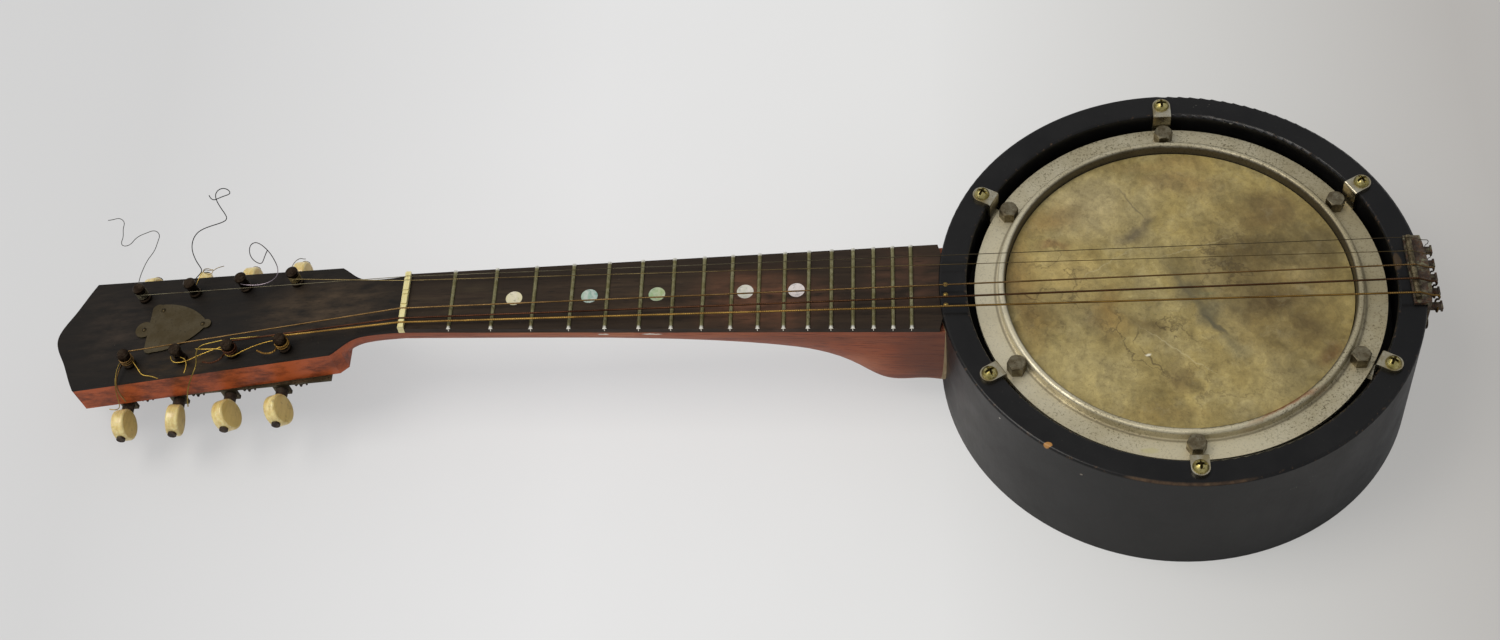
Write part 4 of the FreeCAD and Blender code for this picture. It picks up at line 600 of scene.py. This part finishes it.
# %% Nickel silver frets
nut_along, nut_half_width = -322.5, 14.4
drum_along, drum_half_width = -98.5, 21.5
end_reach, end_core = 1.4, 0.4
fret_metal, tree, shader, place, ground = plated(
    "worn_nickel_silver_frets", "#a8a27c", "#7c7550", "#4e462c",
    smooth=0.25, dull=0.45, pit_share=0.66, bloom_size=3)
axes = add(tree, "SeparateXYZ", {}, {"Vector": place})
side = add(tree, "Math", {"operation": "ABSOLUTE"}, {0: axes.outputs[1]}).outputs[0]
half_board = add(tree, "MapRange", {}, {
    "Value": axes.outputs[0], "From Min": nut_along * mm, "From Max": drum_along * mm,
    "To Min": nut_half_width * mm, "To Max": drum_half_width * mm}).outputs[0]
inward = add(tree, "Math", {"operation": "SUBTRACT"}, {0: half_board, 1: side}).outputs[0]
ends = add(tree, "MapRange", {}, {
    "Value": inward, "From Min": end_reach * mm, "From Max": end_core * mm}).outputs[0]
tree.links.new(over(tree, ground, "#f4f1e4", ends), shader.inputs["Base Color"])
wear(fret_metal, "frets")
print("frets ready")

# %% [markdown]
# The nut is bone, yellow with age. The dots are slices of shell: each has its own colour, from cream to
# sea green, and shimmers in bands. The tint of each dot is set by its place along the neck.

# %% Bone and shell
bone, tree, shader, place = start("yellowed_bone", {
    "Roughness": 0.38, "IOR": 1.54, "Subsurface Weight": 0.15, "Subsurface Radius": (0.004, 0.003, 0.0015)})
fibres = cloud(tree, place, 1.2, low=0.3, high=0.8, stretch=(1, 0.15, 1))
ground = over(tree, "#e6dca2", "#c6b878", fibres)
ground = over(tree, ground, "#8b7b48", cloud(tree, place, 2.2, low=0.6, high=0.75))
tree.links.new(ground, shader.inputs["Base Color"])
relief(tree, shader, fibres, 0.04, 0.4)
wear(bone, "nut")

pearl, tree, shader, place = start("mother_of_pearl", {
    "Roughness": 0.22, "IOR": 1.6, "Metallic": 0.15, "Coat Weight": 0.4, "Coat Roughness": 0.12})
dot_stops = ((0.07, "#d6cea2"), (0.33, "#6aa59a"), (0.55, "#a4b068"), (0.84, "#d5d2c8"), (1.0, "#dccfcc"))
tint = add(tree, "ValToRGB", {"stops": dot_stops}, {"Fac": along(tree, place, "X", -280, -150)}).outputs[0]
loose = ragged(tree, place, 3, 1.2)
shimmer = cloud(tree, loose, 2.2, detail=3, stretch=(1, 0.4, 1))
ground = over(tree, tint, "#f0e4e2", shimmer, 0.4)
shade = over(tree, tint, "#5d6a70", 0.45)
ground = over(tree, ground, shade, cloud(tree, loose, 1.7, detail=2, low=0.55, high=0.75))
tree.links.new(ground, shader.inputs["Base Color"])
wear(pearl, "position_dots")
print("bone and shell ready")

# %% [markdown]
# The tailpiece, the end button, the worm shafts and the small wood screws are steel that has lost its
# plate. Steel rusts in layers: dark brown first, then orange powder, and where copper was under the
# plate a pale green bloom. Rust is no metal, so the crust that raises the bumps also takes the metal away.

# %% Rusted steel
def rusty(name, metal, brown, orange, green, green_share):
    """Bare steel under rust, with some verdigris."""
    material, tree, shader, place = start(name, {"Roughness": 0.55, "Specular IOR Level": 0.35})
    ground = over(tree, metal, brown, cloud(tree, place, 3, detail=5, low=0.35, high=0.6))
    powder = cloud(tree, place, 1.8, detail=6, rough=0.75, low=0.5, high=0.62)
    ground = over(tree, ground, orange, powder)
    bloom = cloud(tree, place, 4, detail=6, rough=0.7, low=1 - green_share, high=1.12 - green_share)
    ground = over(tree, ground, green, bloom)
    tree.links.new(ground, shader.inputs["Base Color"])
    crust = cloud(tree, place, 1.2, detail=6, rough=0.8, low=0.3, high=0.7)
    clean = add(tree, "MapRange", {}, {"Value": crust, "To Min": 0.9, "To Max": 0.1}).outputs[0]
    tree.links.new(clean, shader.inputs["Metallic"])
    relief(tree, shader, crust, 0.12, 0.7)
    return material


wear(rusty("rusted_tailpiece", "#62574a", "#3c3028", "#5c3e28", "#7f7d62", 0.48), "tailpiece")
screw_steel = rusty("rusted_button_screw", "#443b31", "#2b1f16", "#4e301a", "#5d5a44", 0.4)
wear(screw_steel, "end_button", "plate_screws")
worm_steel = rusty("rusted_worm_shafts", "#4e443a", "#2a2019", "#44301f", "#4a4638", 0.4)
wear(worm_steel, *numbered("worm_shaft", 8))
print("rust ready")

# %% [markdown]
# The strings: two plain steel ones for the highest course, and wound ones below. The winding is finer
# than the picture can show, so its ridges are drawn about three times as wide as they are. Dirt and rust
# sit on the wires in short lengths and thicken over the drum, where hands rest.

# %% Strings
def string_metal(name, bright, dark, winding):
    """Wire, plain or wound, browned in short lengths and browner over the drum."""
    material, tree, shader, place = start(name, {"Metallic": 1.0, "Roughness": 0.36})
    ground = over(tree, bright, dark, cloud(tree, place, 14, detail=5, low=0.4, high=0.65))
    ground = over(tree, ground, "#3f2f1c", along(tree, place, "X", -260, -90, full=0.6))
    # What stands up behind the head is nearly black.
    ground = over(tree, ground, "#080605", along(tree, place, "Y", 22, 26, full=0.85))
    tree.links.new(ground, shader.inputs["Base Color"])
    if winding:
        # At a scale of 1 a wave has about pi bands in each unit.
        ridges = add(tree, "TexWave", {"bands_direction": "X"}, {
            "Vector": place, "Scale": every(winding) / pi})
        relief(tree, shader, ridges.outputs[1], 0.12, 0.8)
    return material


wear(string_metal("tarnished_steel_wire", "#6a6552", "#443c2c", 0), "string_e_outer")
wear(string_metal("yellowed_steel_wire", "#8a7a52", "#5a4a2e", 0), "string_e_inner")
wear(string_metal("wound_bronze_wire", "#94754a", "#604828", 0.75), "string_d")
wear(string_metal("dark_wound_wire", "#5c3c2a", "#382218", 0.9), "string_g_inner")
wear(string_metal("bright_wound_wire", "#a98545", "#71542a", 0.9), "string_g_outer")
print("strings ready")

# %% [markdown]
# The tuning buttons are celluloid made to look like ivory: yellow cream, with faint grain lines, a
# little light inside and a soft gloss. The faces, which fingers hold, are duller than the edges and
# browner, partly from handling and partly as painted shade, so a button has two finishes.

# %% Celluloid
def celluloid(name, looks, light, dark, grain, dirt, grime):
    """Imitation ivory. Grain and grime hold the settings of the two clouds that draw them."""
    material, tree, shader, place = start(name, {
        "IOR": 1.5, "Subsurface Radius": (0.005, 0.0035, 0.0015), **looks})
    lines = cloud(tree, ragged(tree, place, 8, 1.5), low=0.35, high=0.7, **grain)
    ground = over(tree, light, dark, lines)
    ground = over(tree, ground, dirt, cloud(tree, place, detail=5, rough=0.7, high=0.75, **grime), 0.6)
    tree.links.new(ground, shader.inputs["Base Color"])
    relief(tree, shader, lines, 0.05, 0.4)
    return material


edge_finish = celluloid(
    "ivory_celluloid",
    {"Roughness": 0.3, "Subsurface Weight": 0.25, "Coat Weight": 0.3, "Coat Roughness": 0.15},
    "#e6d596", "#c8ac66", {"size": 1.6, "detail": 4, "stretch": (1, 0.12, 1)},
    "#6f5529", {"size": 4, "low": 0.58})
# The faces are browner partly from handling and partly as painted shade.
handled_and_shaded_face_finish = celluloid(
    "handled_and_shaded_celluloid_face", {"Roughness": 0.38, "Subsurface Weight": 0.2},
    "#cfb56c", "#bfa45d", {"size": 1.3, "detail": 5, "stretch": (1, 0.15, 1)},
    "#6a5126", {"size": 3, "low": 0.56})
print("celluloid ready")

# %% [markdown]
# Each button is an oval tablet, slightly domed on both faces, with a rolled rim. A circle is squeezed to
# an oval, extruded to a tablet, its rims bevelled, and its faces inset and lifted for the dome. Each
# button stands at its own angle on its shaft, as it was left. A bevel leaves its faces in no fixed
# order, so at the end points and faces are sorted by place, and every run writes the same mesh.

# %% Oval buttons
knob_half_across, knob_half_along, knob_thick = 7.2, 6.7, 5.6
knob_sides, knob_round = 40, 0.9
# Each step of the dome: how far in, how far up.
dome_steps = ((1.5, 0.12), (1.5, 0.08), (1.3, 0.04))
head_tilt = 7.0
knob_angles = (91, 90, 114, 84, 73, 73, 103, 88)


def in_order(items, place_of):
    """Sort the points or the faces of a mesh by their places."""
    for rank, item in enumerate(sorted(items, key=place_of)):
        item.index = rank
    items.sort()


def oval_button(number, turn):
    """A domed oval tablet on its shaft, in place of the solid model's plain one."""
    low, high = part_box("button_%d" % number)
    work = bmesh.new()
    bmesh.ops.create_circle(work, cap_ends=True, segments=knob_sides, radius=1)
    bmesh.ops.scale(work, verts=work.verts, vec=(knob_half_across * mm, knob_half_along * mm, 1))
    grown = bmesh.ops.extrude_face_region(work, geom=work.faces[:])
    top = [v for v in grown["geom"] if isinstance(v, bmesh.types.BMVert)]
    bmesh.ops.translate(work, verts=top, vec=(0, 0, knob_thick * mm))
    bmesh.ops.translate(work, verts=work.verts, vec=(0, 0, -knob_thick * mm / 2))
    bmesh.ops.recalc_face_normals(work, faces=work.faces)
    rims = [e for e in work.edges if abs(e.verts[0].co.z - e.verts[1].co.z) < 1e-7]
    bmesh.ops.bevel(work, geom=rims, offset=knob_round * mm, segments=3, profile=0.5, affect="EDGES",
                    material=-1)
    for inset, lift in dome_steps:
        flats = [f for f in work.faces if len(f.verts) > 4]
        ring = bmesh.ops.inset_individual(work, faces=flats, thickness=inset * mm, depth=lift * mm,
                                          use_even_offset=True)
        for face in ring["faces"] + flats:
            face.material_index = 1
    bmesh.ops.transform(work, verts=work.verts, matrix=Matrix.Rotation(radians(turn - head_tilt), 4, "Y"))
    bmesh.ops.translate(work, verts=work.verts, vec=(low + high) / 2)
    in_order(work.verts, lambda corner: corner.co[:])
    in_order(work.faces, lambda face: face.calc_center_median()[:])
    mesh = bpy.data.meshes.new("ivory_button_%d" % number)
    work.to_mesh(mesh)
    work.free()
    for face in mesh.polygons:
        face.use_smooth = True
    button = bpy.data.objects.new(mesh.name, mesh)
    bpy.context.scene.collection.objects.link(button)
    mesh.materials.append(edge_finish)
    mesh.materials.append(handled_and_shaded_face_finish)
    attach(button, "machine_%d" % number)
    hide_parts("button_%d" % number)
    return button


for number, turn in enumerate(knob_angles, 1):
    button = oval_button(number, turn)
print("button faces:", len(button.data.polygons))

# %% [markdown]
# Strings that were changed or lost have left ends of thin wire on the posts. Wire keeps the bends that
# fingers gave it, so each is a smooth curve through a few listed points, given the thickness of the
# wire. An end that stands in a post turns with that post. One that lies round a post or across the
# head stays with the body, as the strings do, so that it never sweeps through them.

# %% Stray wires
def wire(name, body, radius, places, material):
    """A round wire that follows smooth curves between its places."""
    curve = bpy.data.curves.new(name, "CURVE")
    curve.dimensions = "3D"
    curve.bevel_depth = radius * mm
    curve.bevel_resolution = 2
    curve.resolution_u = 8
    curve.use_fill_caps = True
    line = curve.splines.new("NURBS")
    line.points.add(len(places) - 1)
    for knot, place in zip(line.points, places):
        knot.co = (*(c * mm for c in place), 1)
    line.order_u = 4
    line.use_endpoint_u = True
    piece = bpy.data.objects.new(name, curve)
    bpy.context.scene.collection.objects.link(piece)
    curve.materials.append(material)
    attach(piece, body)
    return piece


old_wire = string_metal("old_springy_wire", "#2e2822", "#191410", 0)
pale_wire = string_metal("pale_springy_wire", "#b4a6ac", "#85787f", 0)
gold_wire = string_metal("golden_end_of_a_string", "#cfae54", "#947333", 0)
olive_wire = string_metal("olive_end_of_a_string", "#a68e48", "#6f5c2c", 0)
# Each wire: name, body, radius, metal and the places that it passes.
stray = (
    ("springy_wire_third_post", "string_post_3", 0.21, old_wire, (
        (-423.3, 19.4, 48.9), (-422.5, 21.4, 49.4), (-420.7, 23.3, 50.3), (-418.4, 25.5, 51.2),
        (-421.6, 28.9, 51.6), (-425.5, 35.7, 51.1), (-426.7, 41.1, 51.0), (-426.0, 45.5, 51.1),
        (-423.7, 48.2, 51.3), (-418.8, 49.8, 51.9), (-413.8, 50.8, 52.6), (-411.6, 52.7, 52.8),
        (-415.1, 57.4, 52.4), (-419.0, 63.1, 51.9), (-420.7, 67.0, 51.7), (-420.0, 69.5, 52.2),
        (-417.4, 70.2, 53.1), (-414.2, 68.8, 53.5), (-412.4, 65.8, 53.9), (-415.4, 65.2, 53.6),
        (-418.7, 63.8, 53.2), (-421.1, 63.1, 52.7), (-423.1, 66.6, 52.4))),
    ("springy_wire_second_post", "string_post_2", 0.2, pale_wire, (
        (-400.6, 16.5, 53.5), (-398.0, 14.0, 55.5), (-392.0, 13.0, 55.5), (-386.0, 14.5, 55.5),
        (-383.0, 18.0, 55.0), (-383.6, 22.5, 54.5), (-385.0, 25.7, 54.5), (-388.1, 30.8, 54.7),
        (-391.9, 35.0, 54.7), (-396.0, 38.0, 54.7), (-398.6, 36.6, 54.4), (-398.3, 32.4, 54.5),
        (-396.5, 28.6, 54.7), (-393.4, 25.8, 55.1), (-390.3, 24.2, 55.9), (-390.2, 27.9, 56.5),
        (-389.3, 31.6, 56.6))),
    ("copper_tangle_third_post", "string_post_3", 0.15, gold_wire, (
        (-421.0, 18.5, 49.5), (-419.7, 23.4, 50.8), (-417.6, 26.2, 52.1), (-414.6, 23.3, 52.9),
        (-413.0, 25.0, 53.5), (-413.4, 21.7, 52.8), (-417.0, 22.9, 52.2), (-418.7, 25.1, 52.1),
        (-415.9, 25.6, 53.1), (-412.3, 23.2, 52.9), (-412.6, 25.1, 53.3), (-408.3, 25.3, 54.2))),
    ("olive_end_of_fifth_string", "body", 0.26, olive_wire, (
        (-376.8, -15.0, 55.6), (-378.4, -13.3, 55.4), (-385.9, -12.6, 54.4), (-393.6, -12.6, 53.4),
        (-400.9, -12.4, 52.6), (-408.0, -13.4, 51.4), (-413.0, -13.7, 50.6), (-414.2, -17.9, 50.7),
        (-412.5, -22.7, 50.9), (-413.0, -26.4, 50.2), (-414.9, -28.9, 48.0), (-416.9, -31.9, 44.0),
        (-418.1, -33.2, 39.5), (-418.8, -34.6, 35.0))),
    ("gold_end_round_sixth_post", "body", 0.22, gold_wire, (
        (-376.0, -15.0, 54.3), (-379.0, -14.4, 54.0), (-387.7, -15.6, 52.5), (-395.1, -19.0, 51.3),
        (-398.0, -20.6, 50.9), (-401.4, -19.3, 50.8), (-402.4, -16.0, 50.6), (-407.2, -15.5, 50.0),
        (-412.1, -15.3, 49.6), (-414.9, -14.9, 49.4))),
    ("gold_end_round_seventh_post", "body", 0.22, gold_wire, (
        (-403.0, -14.6, 50.2), (-409.9, -16.4, 49.2), (-415.2, -18.6, 48.5), (-418.8, -20.3, 48.1),
        (-422.2, -20.9, 47.8), (-425.4, -19.9, 47.6), (-426.0, -17.2, 47.6))),
    ("golden_hook_seventh_post", "string_post_7", 0.22, gold_wire, (
        (-422.8, -17.6, 49.6), (-421.0, -19.0, 49.6), (-419.0, -19.6, 49.8), (-417.7, -21.5, 49.6),
        (-417.3, -24.2, 49.2), (-418.1, -26.6, 48.6))),
    ("golden_end_eighth_post", "body", 0.22, gold_wire, (
        (-443.6, -17.6, 46.4), (-440.5, -21.0, 46.0), (-438.4, -24.8, 45.2), (-435.9, -25.2, 45.4),
        (-433.2, -25.8, 45.8), (-430.1, -27.4, 46.2))),
    ("hanging_end_eighth_post", "string_post_8", 0.2, olive_wire, (
        (-447.8, -17.8, 46.6), (-449.0, -21.0, 46.4), (-449.4, -25.0, 45.6), (-449.0, -29.5, 44.0),
        (-448.8, -32.5, 40.0), (-448.4, -34.0, 35.0), (-450.5, -34.5, 33.0), (-454.0, -34.0, 33.5))))
for name, body, radius, material, places in stray:
    wire(name, body, radius, places, material)
print("stray wires:", len(stray))

# %% [markdown]
# The table is plain and pale, and it isn't part of the object. It is palest left of the middle, where
# the light of the photograph falls, and dims most towards the right, so its colour is a slow ramp. To
# the camera alone, more than half of that colour is a light of its own, which keeps the shadows on it
# as faint as they are in a photograph of a white table.

# %% Table
table_half_width = 2500
table_middle = point(-150, 0, -0.3)
own_light_share = 0.6
table_paint, tree, shader, place = start("pale_table", {"Roughness": 0.55, "Specular IOR Level": 0.3})
table_stops = ((0.0, "#d0d0d0"), (0.35, "#e6e6e6"), (0.6, "#e5e5e4"), (0.82, "#cfcecb"), (1.0, "#b8b5b1"))
tone = add(tree, "ValToRGB", {"stops": table_stops}, {"Fac": along(tree, place, "X", -480, 150)}).outputs[0]
faint = cloud(tree, place, 120, detail=3, low=0.2, high=0.8)
tone = over(tree, tone, "#cfcfcd", faint, 0.1)
seen = add(tree, "LightPath", {}, {}).outputs["Is Camera Ray"]
own_light = add(tree, "Math", {"operation": "MULTIPLY"}, {0: seen, 1: own_light_share}).outputs[0]
tree.links.new(over(tree, tone, "#000000", own_light), shader.inputs["Base Color"])
tree.links.new(tone, shader.inputs["Emission Color"])
tree.links.new(own_light, shader.inputs["Emission Strength"])

work = bmesh.new()
bmesh.ops.create_grid(work, x_segments=1, y_segments=1, size=table_half_width * mm)
bmesh.ops.translate(work, verts=work.verts, vec=table_middle)
mesh = bpy.data.meshes.new("table")
work.to_mesh(mesh)
work.free()
table = bpy.data.objects.new("table", mesh)
bpy.context.scene.collection.objects.link(table)
mesh.materials.append(table_paint)
print("table at z", round(table.data.vertices[0].co.z / mm, 2), "mm")

# %% [markdown]
# The room is a soft even light, so the shadows on the table are faint. A wide key lamp, high up on the
# left, gives the metal its highlights. It stands out of the direction in which the flat black parts
# mirror the camera's view, so that they stay black. A weaker, lower lamp on the left lights the sides
# that face the camera. Together they light a flat surface at about the level where a colour looks as it
# is written.

# %% Light
sky_strength = 0.55
world = bpy.data.worlds.new("studio")
world.use_nodes = True
bpy.context.scene.world = world
sky = world.node_tree.nodes["Background"]
sky.inputs["Color"].default_value = linear("#f4f6fa")
sky.inputs["Strength"].default_value = sky_strength


def lamp(name, place, aim, size, watts, colour):
    """A square soft lamp at a place in metres, turned to shine at another."""
    light = bpy.data.lights.new(name, "AREA")
    light.shape = "SQUARE"
    light.size = size
    light.energy = watts
    light.color = linear(colour)[:3]
    holder = bpy.data.objects.new(name, light)
    bpy.context.scene.collection.objects.link(holder)
    holder.location = place
    holder.rotation_euler = (Vector(aim) - Vector(place)).to_track_quat("-Z", "Y").to_euler()


lamp("key_lamp", (-1.1, -0.1, 1.9), aim=(-0.15, 0, 0), size=1.1, watts=21, colour="#fffaf2")
lamp("left_lamp", (-1.5, -0.6, 1.2), aim=(-0.2, 0, 0), size=0.9, watts=4, colour="#f6f8ff")
bpy.context.scene.view_settings.view_transform = "Standard"
print("lamps:", len(bpy.data.lights))
